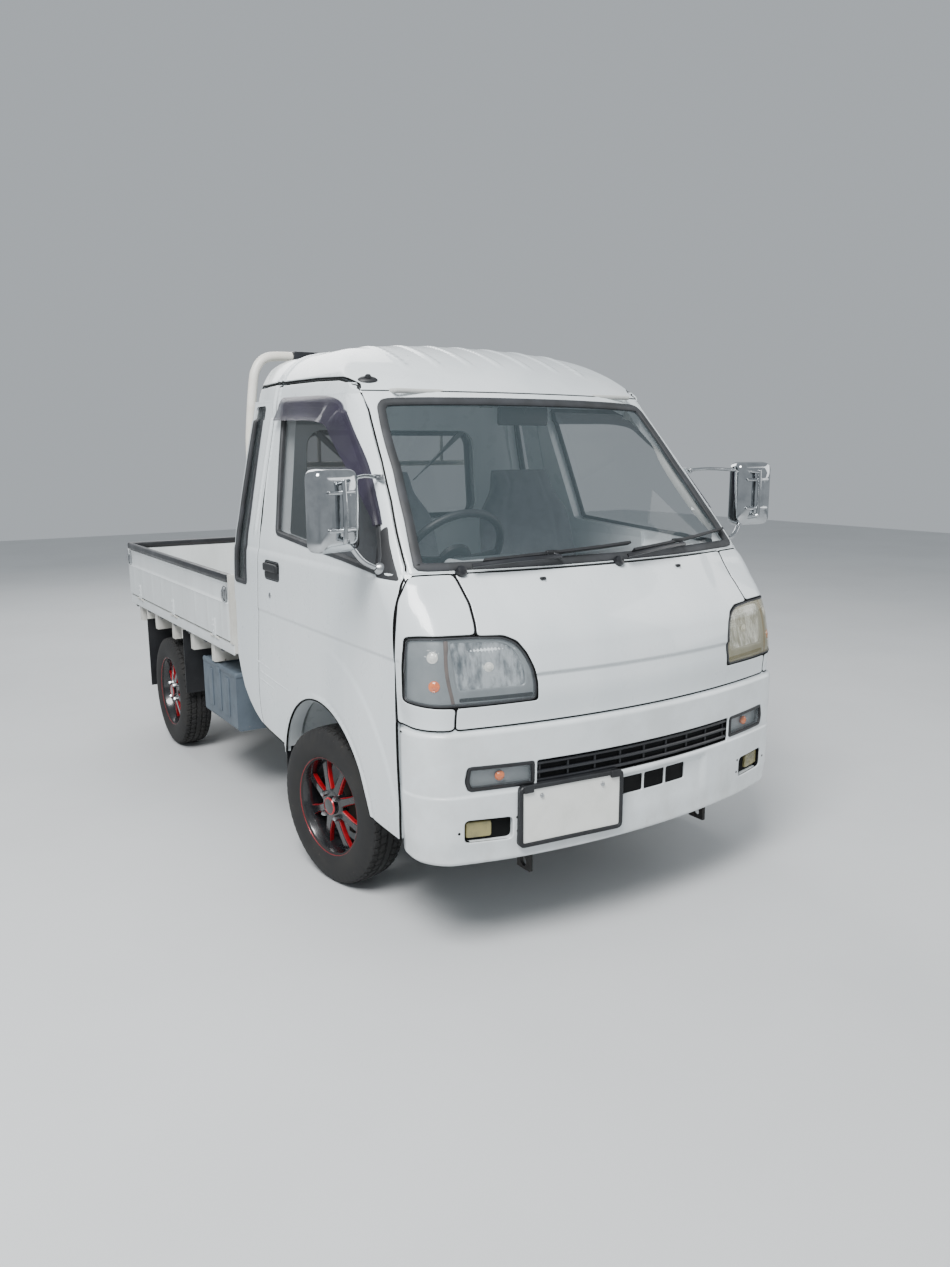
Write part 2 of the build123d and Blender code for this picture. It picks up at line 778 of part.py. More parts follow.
# Ladder frame: two rails with a rise over the axle, and members set between them
rail_centre = rail_half_spacing
rail_front = fa(-740)
rail_inner = rail_centre - rail_width / 2 - seat_gap
rail_top = rail_low + rail_depth
cab_floor_low = floor_height - floor_thickness
seat_floor_low = seat_base_height - floor_thickness
with BuildPart() as chassis_frame:
    for side in (-1, 1):
        with BuildSketch(Plane.YZ.offset(side * rail_centre - rail_width / 2)):
            with BuildLine():
                FilletPolyline(
                    (rail_front, rail_low),
                    (fa(1180), rail_low),
                    (fa(1440), rail_high),
                    (fa(2490), rail_high),
                    (fa(2490), rail_high + rail_depth),
                    (fa(1400), rail_high + rail_depth),
                    (fa(1140), rail_top),
                    (rail_front, rail_top),
                    radius=20,
                    close=True,
                )
            make_face()
        extrude(amount=rail_width)
        # Cab mounts
        for y, mount_radius, mount_top in ((fa(-640), 22, cab_floor_low), (fa(640), 26, seat_floor_low)):
            with Locations((side * rail_centre, y, (rail_top + mount_top) / 2)):
                Cylinder(mount_radius, mount_top - rail_top)
        # Hangers down to the front cross beam
        with Locations((side * (rail_inner - hanger_width / 2), kingpin_y + 20, (beam_top + hanger_top) / 2)):
            Box(hanger_width, 60, hanger_top - beam_top)
        # Towing eyes under the front ends of the rails, below the bumper's lower edge
        with Locations((side * rail_centre, fa(-700), (tow_eye_low + rail_low - seat_gap) / 2)):
            Box(tow_eye_thickness, 64, rail_low - seat_gap - tow_eye_low)
        with Locations((side * rail_centre, fa(-700), tow_eye_z)):
            Cylinder(
                tow_eye_radius, tow_eye_thickness, rotation=(0, 90, 0), mode=Mode.SUBTRACT
            )
    for y, z in (
        (fa(-718), rail_low + 45),
        (fa(760), rail_low + 68),
        (fa(1100), rail_low + 67),
        (fa(1640), rail_high + 50),
        (fa(2200), rail_high + 45),
        (fa(2465), rail_high + 45),
    ):
        with Locations((0, y, z)):
            Box(2 * rail_inner, 42, 44)
    # Rear bar on its brackets
    for side in (-1, 1):
        with Locations((side * 300, fa(2470), 465)):
            Box(30, 16, 120)
    with Locations((0, fa(2476), 425)):
        Box(1200, 30, 60)

# Rear axle with its differential, drums, and leaf springs
with BuildPart() as rear_axle:
    with BuildSketch(Plane.YZ.offset(-rear_tread / 2 + 60)):
        with Locations((rear_axle_y, tyre_radius)):
            Circle(31)
    extrude(amount=rear_tread - 120)
    with BuildSketch(Plane.XY.offset(tyre_radius)):
        with Locations((20, rear_axle_y)):
            Ellipse(95, 105)
            Rectangle(200, 220, align=(Align.CENTER, Align.MAX), mode=Mode.SUBTRACT)
    revolve(axis=Axis((0, rear_axle_y, tyre_radius), (1, 0, 0)), revolution_arc=360)
    with BuildSketch(Plane.XZ.offset(-rear_axle_y + 60)):
        with Locations((20, tyre_radius)):
            Circle(38)
    extrude(amount=110)
    for side in (-1, 1):
        centre_x = side * (rear_tread / 2 - 55)
        with Locations((centre_x, rear_axle_y, tyre_radius)):
            Cylinder(100, 46, rotation=(0, 90, 0))
        stub_length = 55 - hub_face - 9
        with Locations((side * (rear_tread / 2 - 55 + stub_length / 2), rear_axle_y, tyre_radius)):
            Cylinder(axle_stub_radius, stub_length, rotation=(0, 90, 0))
    for side in (-1, 1):
        with Locations((side * rail_centre, rear_axle_y, tyre_radius + 34)):
            Box(56, 90, 14)
    for side in (-1, 1):
        with BuildSketch(Plane.YZ.offset(side * rail_centre - 25)):
            with BuildLine():
                spring_z = tyre_radius + 40
                ThreePointArc(
                    (rear_axle_y - 520, spring_z + 60),
                    (rear_axle_y, spring_z),
                    (rear_axle_y + 480, spring_z + 60),
                )
                Line((rear_axle_y + 480, spring_z + 60), (rear_axle_y + 480, spring_z + 80))
                ThreePointArc(
                    (rear_axle_y + 480, spring_z + 80),
                    (rear_axle_y, spring_z + 26),
                    (rear_axle_y - 520, spring_z + 80),
                )
                Line((rear_axle_y - 520, spring_z + 80), (rear_axle_y - 520, spring_z + 60))
            make_face()
        extrude(amount=50)
        with Locations((side * rail_centre, rear_axle_y + 470, (spring_z + 70 + rail_high) / 2)):
            Box(40, 24, rail_high - spring_z - 70)
        with Locations((side * rail_centre, rear_axle_y - 505, (spring_z + 70 + rail_high - 40) / 2)):
            Box(40, 24, rail_high - 30 - spring_z - 70)

first_bearer_y = bed_front_y + 330
bearer_pitch = 310
with BuildPart() as engine_block:
    with Locations((0, fa(20), 415)):
        Box(430, 560, 250)
    with Locations((0, fa(480), 400)):
        Box(220, 360, 190)
    with BuildSketch(Plane.XZ.offset(-fa(660))):
        with Locations((20, 350)):
            Circle(30)
    extrude(amount=-(rear_axle_y - 170 - seat_gap - fa(660)))
    for side in (-1, 1):
        with Locations((side * (rail_centre - rail_width / 2 - seat_gap - 70), fa(150), 400)):
            Box(140, 60, 50)

with BuildPart() as fuel_tank:
    with BuildSketch(Plane.XZ.offset(-fa(930))):
        with Locations((556, 442)):
            RectangleRounded(280, 230, 40)
    extrude(amount=-460)
    with Locations((556, first_bearer_y, (557 + rail_high + rail_depth) / 2)):
        Box(180, 30, rail_high + rail_depth - 557)

with BuildPart() as tool_box:
    with BuildSketch(Plane.XZ.offset(-fa(900))):
        with Locations((-600, 432)):
            RectangleRounded(210, 252, 18)
    extrude(amount=-440)
    with Locations((-600, first_bearer_y, (558 + rail_high + rail_depth) / 2)):
        Box(150, 30, rail_high + rail_depth - 558)

# Bed: floor sheet on cross bearers and side sills, with the fixed front board
floor_low = bed_floor_top - bed_floor_thickness
bed_half = half_width - 2.5
gate_outer = half_width - 5.5
hinge_z = bed_floor_top - 1.0
floor_edge = gate_outer - 8.0
gate_top = bed_floor_top + gate_height
sill_low = bed_floor_top - sill_height
gate_inner_x = gate_outer - gate_thickness
gate_rear_y = bed_rear_y - 8.0
gate_front_y = bed_front_y + 28 + gate_clearance
side_end = gate_rear_y - gate_thickness - gate_clearance
eye_radius = 4.5
eye_length = 34.0
eye_offset = eye_length + 0.4
side_hinges = [gate_front_y + (side_end - gate_front_y) * share for share in (0.12, 0.5, 0.88)]
tail_hinges = (-520, 0, 520)
guard_half = 600.0
guard_foot = 52.0
with BuildPart() as bed_floor:
    with BuildSketch(Plane.XY.offset(floor_low)):
        with Locations((0, bed_front_y)):
            Rectangle(2 * floor_edge, gate_rear_y - 8 - bed_front_y, align=(Align.CENTER, Align.MIN))
    extrude(amount=bed_floor_thickness)
    for side in (-1, 1):
        with Locations((side * (floor_edge - 15), (bed_front_y + gate_rear_y - 8) / 2, (sill_low + floor_low) / 2)):
            Box(30, gate_rear_y - 8 - bed_front_y, floor_low - sill_low)
    for y in (bed_front_y + 30, gate_rear_y - 28):
        with Locations((0, y, (sill_low + floor_low) / 2)):
            Box(2 * (floor_edge - 10), 40, floor_low - sill_low)
    bearer_low = rail_high + rail_depth
    for step in range(5):
        y = first_bearer_y + bearer_pitch * step
        with Locations((0, y, (bearer_low + floor_low) / 2)):
            Box(2 * (gate_outer - 20), 44, floor_low - bearer_low)
    # Front board with its end posts
    with Locations((0, bed_front_y + 14, (bed_floor_top + gate_top) / 2)):
        Box(2 * gate_outer, 28, gate_height)
    # Foot plates under the guard's legs
    for side in (-1, 1):
        with Locations((side * guard_half, bed_front_y + gate_thickness + guard_foot / 2, bed_floor_top + 3)):
            Box(guard_foot, guard_foot, 6)
    # Fixed hinge eyes on each side of the gates' own eyes
    for side in (-1, 1):
        for y in side_hinges:
            for end in (-1, 1):
                with Locations((side * gate_outer, y + end * eye_offset, hinge_z)):
                    Cylinder(eye_radius, eye_length, rotation=(90, 0, 0))
                with Locations((side * (gate_outer - 6), y + end * eye_offset, hinge_z - 4)):
                    Box(12, eye_length, 6)
    for x in tail_hinges:
        for end in (-1, 1):
            with Locations((x + end * eye_offset, gate_rear_y, hinge_z)):
                Cylinder(eye_radius, eye_length, rotation=(0, 90, 0))
            with Locations((x + end * eye_offset, gate_rear_y - 6, hinge_z - 4)):
                Box(eye_length, 12, 6)
    # Wheel arch brackets that carry the flaps
    for side in (-1, 1):
        for y in (rear_axle_y - 300, rear_axle_y + 340):
            with Locations((side * (rear_tread / 2), y, (sill_low + 600) / 2)):
                Box(140, 12, sill_low - 600)

guard_radius = 19.0
guard_y = bed_front_y + gate_thickness + guard_radius + seat_gap
with BuildPart() as guard_frame:
    with BuildLine() as guard_path:
        FilletPolyline(
            (-guard_half, guard_y, bed_floor_top + 6 + seat_gap),
            (-guard_half, guard_y, 1500),
            (-560, guard_y, guard_height - 22),
            (560, guard_y, guard_height - 22),
            (guard_half, guard_y, 1500),
            (guard_half, guard_y, bed_floor_top + 6 + seat_gap),
            radius=80,
        )
    with BuildSketch(Plane(origin=guard_path.line @ 0, z_dir=guard_path.line % 0)):
        Circle(guard_radius)
    sweep()
    with Locations((0, guard_y, 1420)):
        Box(1190, 24, 24)
    with Locations((0, guard_y, guard_height - 22)):
        Box(820, 44, 44)

# Gates with a padded top rail, hinged at their lower outer edge
with BuildPart() as side_gate_build:
    span = side_end - gate_front_y
    middle = (side_end + gate_front_y) / 2
    panel_low = bed_floor_top + gate_foot
    with Locations(((-gate_outer - gate_inner_x) / 2, middle, (panel_low + gate_top) / 2)):
        Box(gate_thickness, span, gate_top - panel_low)
    # Stepped face
    with Locations((-gate_outer, middle, gate_top - 98)):
        Box(16, span - 60, 84, mode=Mode.SUBTRACT)
    with Locations((-gate_outer, middle, panel_low + 76)):
        Box(12, span - 120, 84, mode=Mode.SUBTRACT)
    with BuildSketch(Plane.XZ.offset(-gate_front_y)):
        with Locations(((-gate_outer - gate_inner_x) / 2, gate_top - rail_pad_height / 2)):
            RectangleRounded(rail_pad_width, rail_pad_height, 9)
    extrude(amount=-span)
    # Hinge eyes
    for y in side_hinges:
        with Locations((-gate_outer, y, hinge_z)):
            Cylinder(eye_radius, eye_length, rotation=(90, 0, 0))
        with Locations((-gate_outer + 3, y, hinge_z + 6)):
            Box(6, eye_length, 12)
side_gate_right = side_gate_build.part
side_gate_left = mirror(side_gate_right, about=Plane.YZ)

with BuildPart() as tailgate:
    tail_low = bed_floor_top + gate_foot
    tail_y = gate_rear_y - gate_thickness / 2
    with Locations((0, tail_y, (tail_low + gate_top) / 2)):
        Box(2 * gate_outer, gate_thickness, gate_top - tail_low)
    with Locations((0, gate_rear_y, gate_top - 98)):
        Box(2 * gate_outer - 90, 16, 84, mode=Mode.SUBTRACT)
    with Locations((0, gate_rear_y, tail_low + 76)):
        Box(2 * gate_outer - 150, 12, 84, mode=Mode.SUBTRACT)
    with BuildSketch(Plane.YZ.offset(-gate_outer)):
        with Locations((tail_y, gate_top - rail_pad_height / 2)):
            RectangleRounded(rail_pad_width, rail_pad_height, 9)
    extrude(amount=2 * gate_outer)
    for x in tail_hinges:
        with Locations((x, gate_rear_y, hinge_z)):
            Cylinder(eye_radius, eye_length, rotation=(0, 90, 0))
        with Locations((x, gate_rear_y - 3, hinge_z + 6)):
            Box(eye_length, 6, 12)

with BuildPart() as rear_lamps:
    for side in (-1, 1):
        with Locations((side * 560, gate_rear_y - 26, sill_low - 55)):
            Box(220, 44, 110)
    with Locations((0, gate_rear_y - 14, sill_low - 80)):
        Box(340, 6, 160)
    with Locations((0, gate_rear_y - 14, sill_low - 40)):
        with GridLocations(plate_bolt_spacing, 10, 2, 1):
            Cylinder(plate_bolt_radius, 6, rotation=(90, 0, 0), mode=Mode.SUBTRACT)

with BuildPart() as mud_flaps:
    for side in (-1, 1):
        for y, low, top, inner_x, outer_x in (
            (fa(332), 205, 408, 560, 646),
            (fa(332), 205, 400, 646, 715),
            (rear_axle_y - 309 - seat_gap, 330, 640, 575, 720),
            (rear_axle_y + 349 + seat_gap, 235, 640, 575, 720),
        ):
            with Locations((side * (inner_x + outer_x) / 2, y, (low + top) / 2)):
                Box(outer_x - inner_x, 6, top - low)

os.makedirs("parts", exist_ok=True)
nodes = {
    "chassis_frame": chassis_frame.part,
    "front_suspension": front_suspension.part,
    "rear_axle": rear_axle.part,
    "engine_block": engine_block.part,
    "fuel_tank": fuel_tank.part,
    "tool_box": tool_box.part,
    "cab_body": cab_body.part,
    "cab_roof": cab_roof.part,
    "front_panel": front_panel.part,
    "corner_panels": corner_panels.part,
    "front_bumper": front_bumper.part,
    "grille": grille.part,
    "headlamp_right": headlamp_right,
    "headlamp_left": headlamp_left,
    "bumper_lamps": bumper_lamps.part,
    "front_plate": front_plate,
    "windscreen": windscreen.part,
    "screen_seal": screen_seal.part,
    "rear_glass": rear_glass.part,
    "door_right": door_right,
    "door_left": door_left,
    "door_glass_right": door_glass_right,
    "door_glass_left": door_glass_left,
    "mirror_right": mirror_right,
    "mirror_left": mirror_left,
    "wipers": wiper_set,
    "seats": seats.part,
    "dashboard": dashboard.part,
    "bed_floor": bed_floor.part,
    "guard_frame": guard_frame.part,
    "side_gate_right": side_gate_right,
    "side_gate_left": side_gate_left,
    "tailgate": tailgate.part,
    "rear_lamps": rear_lamps.part,
    "mud_flaps": mud_flaps.part,
}
nodes.update(wheel_nodes)
for name, shape in nodes.items():
    shape.label = name
    export_step(shape, "parts/" + name + ".step")
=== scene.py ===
"""Looks of a small high-roof flat-bed truck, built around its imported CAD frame.

All sizes are millimetres until a mesh is made. The nose points to -Y, +Z is up and the driver's side is -X.
"""

import json
import logging
from dataclasses import dataclass, field
from enum import Enum
from typing import Optional, Sequence, Union

import bmesh
import bpy
import numpy as np
from mathutils import Matrix, Vector, geometry

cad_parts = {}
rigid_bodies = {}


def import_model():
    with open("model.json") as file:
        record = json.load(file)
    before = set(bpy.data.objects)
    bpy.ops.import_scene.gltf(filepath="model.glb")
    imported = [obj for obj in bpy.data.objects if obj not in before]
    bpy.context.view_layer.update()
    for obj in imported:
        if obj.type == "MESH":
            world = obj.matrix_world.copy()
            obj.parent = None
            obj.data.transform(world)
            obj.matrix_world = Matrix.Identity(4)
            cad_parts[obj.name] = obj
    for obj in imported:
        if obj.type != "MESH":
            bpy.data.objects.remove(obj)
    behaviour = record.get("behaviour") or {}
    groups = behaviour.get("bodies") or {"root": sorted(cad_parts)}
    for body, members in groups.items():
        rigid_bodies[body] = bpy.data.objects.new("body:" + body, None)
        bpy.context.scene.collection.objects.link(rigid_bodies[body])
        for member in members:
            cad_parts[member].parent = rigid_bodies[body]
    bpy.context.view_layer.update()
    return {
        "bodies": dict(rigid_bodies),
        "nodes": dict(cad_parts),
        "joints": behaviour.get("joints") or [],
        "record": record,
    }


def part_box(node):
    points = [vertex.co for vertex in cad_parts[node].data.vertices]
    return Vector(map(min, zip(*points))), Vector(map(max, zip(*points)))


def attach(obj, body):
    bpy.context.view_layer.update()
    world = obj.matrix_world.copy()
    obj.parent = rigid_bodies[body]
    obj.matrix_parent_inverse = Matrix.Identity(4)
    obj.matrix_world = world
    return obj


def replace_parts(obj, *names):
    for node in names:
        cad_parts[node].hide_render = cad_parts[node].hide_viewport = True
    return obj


LOG = logging.getLogger("truck")
MM = 0.001

NOSE_Y = -1697.5
FRONT_AXLE_Y = -852.5
CAB_REAR_Y = -37.5
BOW_AXIS_Y = 752.0
BED_FRONT_Y = -22.5
GATE_REAR_Y = 1689.5
GATE_OUTER_X = 732.0
GATE_TOP_Z = 985.0
TYRE_RADIUS = 275.0
LEFT, RIGHT = 1, -1
# The bumper's skin stands out of the cab's form by 7.5 mm
BUMPER_INSET = -7.5
# Edges sharper than this many degrees are shaded as edges
CREASE = 38.0
# Halvings of a run of up to 1.6 m, which leave less than a thousandth of a millimetre
HALVINGS = 26
# Places across a number plate of its two bolts.
PLATE_BOLTS = (-105.0, 105.0)
# The driver's place across the cab, on the right-hand side.
DRIVER_X = -350.0
BOLT_HEAD = ((0, 0.1), (0, 7), (3, 6.5), (5, 4), (5, 0.1))
# The photograph in pixels, and the camera fitted to it: focal length, optical centre, azimuth, elevation and
# roll in degrees, and its place in metres
PHOTO_WIDTH, PHOTO_HEIGHT = 950.0, 1267.0
PHOTO_FOCAL = 948.71
PHOTO_CENTRE = (475.25, 632.26)
CAMERA_ANGLES = (-32.97, 10.92, -0.29)
CAMERA_PLACE = (-1.9674, -3.7470, 1.4796)
SENSOR_MM = 36.0


def fa(distance: float) -> float:
    """Y of a place measured back from the front axle."""
    return FRONT_AXLE_Y + distance


# ---------------------------------------------------------------- numbers and curves


def smooth(value: np.ndarray) -> np.ndarray:
    """Smooth step: 3v^2 - 2v^3 between 0 and 1, flat outside."""
    v = np.clip(value, 0.0, 1.0)
    return v * v * (3 - 2 * v)


def monotone(x: np.ndarray, xs: Sequence[float], ys: Sequence[float]) -> np.ndarray:
    """Cubic through the knots with no overshoot.

    The slope at a knot is the weighted harmonic mean of the slopes beside it, and 0 where they differ in sign.

    Args:
        x: where the curve is wanted.
        xs: knots, rising.
        ys: values at the knots.

    Returns:
        The curve's values.
    """
    xs, ys = np.asarray(xs, float), np.asarray(ys, float)
    h = np.diff(xs)
    d = np.diff(ys) / h
    m = np.zeros(len(xs))
    m[0], m[-1] = d[0], d[-1]
    same = d[:-1] * d[1:] > 0
    w1, w2 = 2 * h[1:] + h[:-1], h[1:] + 2 * h[:-1]
    safe = np.where(same, d[:-1], 1.0), np.where(same, d[1:], 1.0)
    m[1:-1] = np.where(same, (w1 + w2) / (w1 / safe[0] + w2 / safe[1]), 0.0)
    x = np.clip(x, xs[0], xs[-1])
    k = np.clip(np.searchsorted(xs, x) - 1, 0, len(h) - 1)
    t = (x - xs[k]) / h[k]
    return (
        ys[k] * (1 + 2 * t) * (1 - t) ** 2
        + ys[k + 1] * t * t * (3 - 2 * t)
        + h[k] * (m[k] * t * (1 - t) ** 2 - m[k + 1] * t * t * (1 - t))
    )


def rounded_both(a: np.ndarray, b: np.ndarray, radius: float) -> np.ndarray:
    """Distance to the corner of two faces at distances a and b, rounded by the radius."""
    outside = np.hypot(np.maximum(a + radius, 0), np.maximum(b + radius, 0))
    return np.minimum(np.maximum(a, b) + radius, 0) + outside - radius


def soft_max(a: np.ndarray, b: np.ndarray, reach: np.ndarray) -> np.ndarray:
    """The larger of two fields, blended where they differ by less than the reach."""
    h = np.clip(0.5 + 0.5 * (a - b) / reach, 0, 1)
    return a * h + b * (1 - h) + reach * h * (1 - h)


def circle_through(p: np.ndarray) -> tuple[np.ndarray, float]:
    """Centre and radius of the circle through three points of a plane."""
    a = 2 * (p[1:] - p[0])
    centre = np.linalg.solve(a, (p[1:] ** 2).sum(1) - (p[0] ** 2).sum())
    return centre, float(np.hypot(*(p[0] - centre)))


def rounded_outline(points: Sequence[Sequence[float]], radius: float, step: float = 12.0) -> np.ndarray:
    """A closed outline with its corners rounded and its runs divided.

    Each corner becomes an arc, drawn as a quadratic curve between points one tangent length from the corner.

    Args:
        points: corners in order, two coordinates each.
        radius: tangent length at each corner, cut to half of the shorter run beside it.
        step: longest distance between two points.

    Returns:
        Points of the outline, counter-clockwise.
    """
    p = np.asarray(points, float)
    area = 0.5 * np.sum(p[:, 0] * np.roll(p[:, 1], -1) - np.roll(p[:, 0], -1) * p[:, 1])
    if area < 0:
        p = p[::-1]
    before, after = np.roll(p, 1, 0) - p, np.roll(p, -1, 0) - p
    lb, la = np.linalg.norm(before, axis=1), np.linalg.norm(after, axis=1)
    reach = np.minimum(radius, 0.48 * np.minimum(lb, la))[:, None]
    start, end = p + before / lb[:, None] * reach, p + after / la[:, None] * reach
    out = []
    for k in range(len(p)):
        arc = max(2, int(np.ceil(2 * reach[k, 0] / step)) + 2)
        t = np.linspace(0, 1, arc)[:, None]
        out.append(start[k] * (1 - t) ** 2 + 2 * p[k] * t * (1 - t) + end[k] * t * t)
        nxt = start[(k + 1) % len(p)]
        run = np.linalg.norm(nxt - end[k])
        n = int(run // step)
        if n > 0:
            out.append(end[k] + (nxt - end[k]) * (np.arange(1, n + 1) / (n + 1))[:, None])
    return np.concatenate(out)


def unit(rows: np.ndarray) -> np.ndarray:
    """Vectors scaled to length 1."""
    return rows / np.maximum(np.linalg.norm(rows, axis=1), 1e-9)[:, None]


def tangents(path: np.ndarray, closed: bool) -> np.ndarray:
    """Unit vectors along a path."""
    return unit(np.roll(path, -1, 0) - np.roll(path, 1, 0) if closed else np.gradient(path, axis=0))


def left_of(path: np.ndarray, closed: bool = False) -> np.ndarray:
    """Unit vectors in the plane that point to the left of a path."""
    t = tangents(path, closed)
    return np.stack([-t[:, 1], t[:, 0]], 1)


def inward_normals(loop: np.ndarray) -> np.ndarray:
    """Unit normals of a counter-clockwise loop, pointing to its inside."""
    return left_of(loop, closed=True)


def moved_in(loop: np.ndarray, by: float) -> np.ndarray:
    """A counter-clockwise loop moved to its inside by a distance, or outwards where that is negative."""
    return loop + inward_normals(loop) * by


def inside_loop(points: np.ndarray, loop: np.ndarray) -> np.ndarray:
    """Which points lie in a closed loop, by counting the edges a ray to +X crosses."""
    a, b = loop, np.roll(loop, -1, 0)
    x, y = points[:, 0][:, None], points[:, 1][:, None]
    crosses = (a[:, 1] > y) != (b[:, 1] > y)
    rise = np.where(b[:, 1] == a[:, 1], 1e-9, b[:, 1] - a[:, 1])
    at = a[:, 0] + (y - a[:, 1]) * (b[:, 0] - a[:, 0]) / rise
    return (crosses & (x < at)).sum(1) % 2 == 1


def away_from(points: np.ndarray, loop: np.ndarray) -> np.ndarray:
    """Distance of each point from the nearest corner of a loop."""
    return np.sqrt(((points[:, None, :] - loop[None, :, :]) ** 2).sum(2)).min(1)


def tangent_frames(path: np.ndarray, closed: bool) -> tuple[np.ndarray, np.ndarray, np.ndarray]:
    """Tangent, side and up vectors along a path, with the side kept as level as it can be."""
    t = tangents(path, closed)
    guide = np.tile([0.0, 0.0, 1.0], (len(path), 1))
    if (np.abs(t[:, 2]) > 0.98).any():
        guide[:] = (0.0, 1.0, 0.0) if np.abs(t[:, 1]).max() < 0.98 else (0.83, 0.31, 0.47)
    side = unit(np.cross(t, guide))
    return t, side, np.cross(side, t)


# ---------------------------------------------------------------- meshes


@dataclass
class Shell:
    """Surfaces gathered into one mesh, in millimetres."""

    points: list[np.ndarray] = field(default_factory=list)
    faces: list[np.ndarray] = field(default_factory=list)
    normals: list[np.ndarray] = field(default_factory=list)
    count: int = 0

    def add(self, points: np.ndarray, faces: np.ndarray, normals: Optional[np.ndarray] = None) -> "Shell":
        """Adds points with triangles or quads; a normal of zero leaves that to Blender.

        Args:
            points: (n, 3) places.
            faces: (m, 3) or (m, 4) rows of point numbers.
            normals: (n, 3) shading normals, if they are known.

        Returns:
            The shell itself.
        """
        points, faces = np.asarray(points, float), np.asarray(faces, np.int64)
        self.points.append(points)
        self.faces.append(faces + self.count)
        self.normals.append(np.zeros_like(points) if normals is None else normals)
        self.count += len(points)
        return self

    def grid(self, points: np.ndarray, around: bool = False, along: bool = False) -> "Shell":
        """Adds a (rows, columns, 3) grid of places as quads, closed round its columns or its rows."""
        rows, cols = points.shape[:2]
        r = np.arange(rows if along else rows - 1)[:, None]
        c = np.arange(cols if around else cols - 1)[None, :]
        r2, c2 = (r + 1) % rows, (c + 1) % cols
        quads = np.stack([r * cols + c, r * cols + c2, r2 * cols + c2, r2 * cols + c], -1).reshape(-1, 4)
        return self.add(points.reshape(-1, 3), quads)

    def fan(self, ring: np.ndarray, flip: bool = False) -> "Shell":
        """Closes a ring of places with triangles about its middle."""
        n = len(ring)
        k = np.arange(n)
        tris = np.stack([k, (k + 1) % n, np.full(n, n)], 1)
        return self.add(np.vstack([ring, ring.mean(0)]), tris[:, ::-1] if flip else tris)

    def merge(self, other: "Shell") -> "Shell":
        """Adds another shell's surfaces."""
        self.points += other.points
        self.faces += [f + self.count for f in other.faces]
        self.normals += other.normals
        self.count += other.count
        return self

    def moved(self, turn: np.ndarray, shift: Sequence[float]) -> "Shell":
        """A copy turned by a 3 by 3 matrix and then shifted; a mirror turns the faces round."""
        flip = np.linalg.det(turn) < 0
        made = Shell(count=self.count)
        made.points = [p @ turn.T + np.asarray(shift, float) for p in self.points]
        made.normals = [n @ turn.T for n in self.normals]
        made.faces = [f[:, ::-1] if flip else f.copy() for f in self.faces]
        return made

    def look_from(self, part: int, middle: Sequence[float]) -> None:
        """Turns one part's faces so that they look away from a place, or from one place for each face."""
        points, f = np.concatenate(self.points), self.faces[part]
        corner = points[f[:, 0]]
        n = np.cross(points[f[:, 1]] - corner, points[f[:, 2]] - corner)
        if (n * (corner - np.asarray(middle))).sum() < 0:
            self.faces[part] = f[:, ::-1]

    def outward(self) -> "Shell":
        """Turns the whole shell so that it encloses a positive volume: the sum of a . (b x c) over its faces."""
        points = np.concatenate(self.points)
        volume = 0.0
        for f in self.faces:
            for k in range(1, f.shape[1] - 1):
                a, b, c = points[f[:, 0]], points[f[:, k]], points[f[:, k + 1]]
                volume += float((a * np.cross(b, c)).sum())
        if volume < 0:
            self.faces = [f[:, ::-1] for f in self.faces]
        return self

    def outward_to(self, inner: Sequence[float]) -> "Shell":
        """Turns each part so that it looks away from a place."""
        for part in range(len(self.faces)):
            self.look_from(part, inner)
        return self

    def outward_from_ring(self, ring: Sequence[float]) -> "Shell":
        """Turns each part of a lathe form so that it looks away from a ring at (along, radius)."""
        points = np.concatenate(self.points)
        for part, f in enumerate(self.faces):
            p = points[f[:, 0]]
            share = ring[1] / np.hypot(p[:, 1], p[:, 2])
            self.look_from(part, np.stack([np.full(len(p), ring[0]), p[:, 1] * share, p[:, 2] * share], 1))
        return self

    def turned_in(self) -> "Shell":
        """The same shell with its faces looking the other way."""
        self.faces = [f[:, ::-1] for f in self.faces]
        self.normals = [-n for n in self.normals]
        return self

    def mirrored(self) -> "Shell":
        """The same shell on the other side of the truck."""
        return self.moved(np.diag([-1.0, 1.0, 1.0]), (0, 0, 0))

    def piece(
        self, name: str, material: bpy.types.Material, body: str = "truck", crease: float = CREASE
    ) -> bpy.types.Object:
        """Makes the mesh object and lets it ride on a body.

        Args:
            name: the piece's name.
            material: its finish.
            body: the CAD body that it rides on.
            crease: edges sharper than this many degrees are shaded as edges.

        Returns:
            The finished object.
        """
        points = np.concatenate(self.points) * MM
        normals = np.concatenate(self.normals)
        sizes = np.concatenate([np.full(len(f), f.shape[1]) for f in self.faces])
        loops = np.concatenate([f.reshape(-1) for f in self.faces])
        mesh = bpy.data.meshes.new(name)
        mesh.vertices.add(len(points))
        mesh.vertices.foreach_set("co", points.astype(np.float32).ravel())
        mesh.loops.add(len(loops))
        mesh.loops.foreach_set("vertex_index", loops.astype(np.int32))
        mesh.polygons.add(len(sizes))
        mesh.polygons.foreach_set("loop_start", (np.cumsum(sizes) - sizes).astype(np.int32))
        mesh.update(calc_edges=True)
        mesh.validate()
        mesh.polygons.foreach_set("use_smooth", np.ones(len(mesh.polygons), bool))
        mesh.set_sharp_from_angle(angle=np.radians(crease))
        if np.abs(normals).sum() > 0 and len(mesh.vertices) == len(normals):
            mesh.normals_split_custom_set_from_vertices(normals.astype(np.float32).tolist())
        mesh.materials.append(material)
        obj = bpy.data.objects.new(name, mesh)
        bpy.context.scene.collection.objects.link(obj)
        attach(obj, body)
        LOG.info("%s: %d faces on %s", name, len(mesh.polygons), body)
        return obj

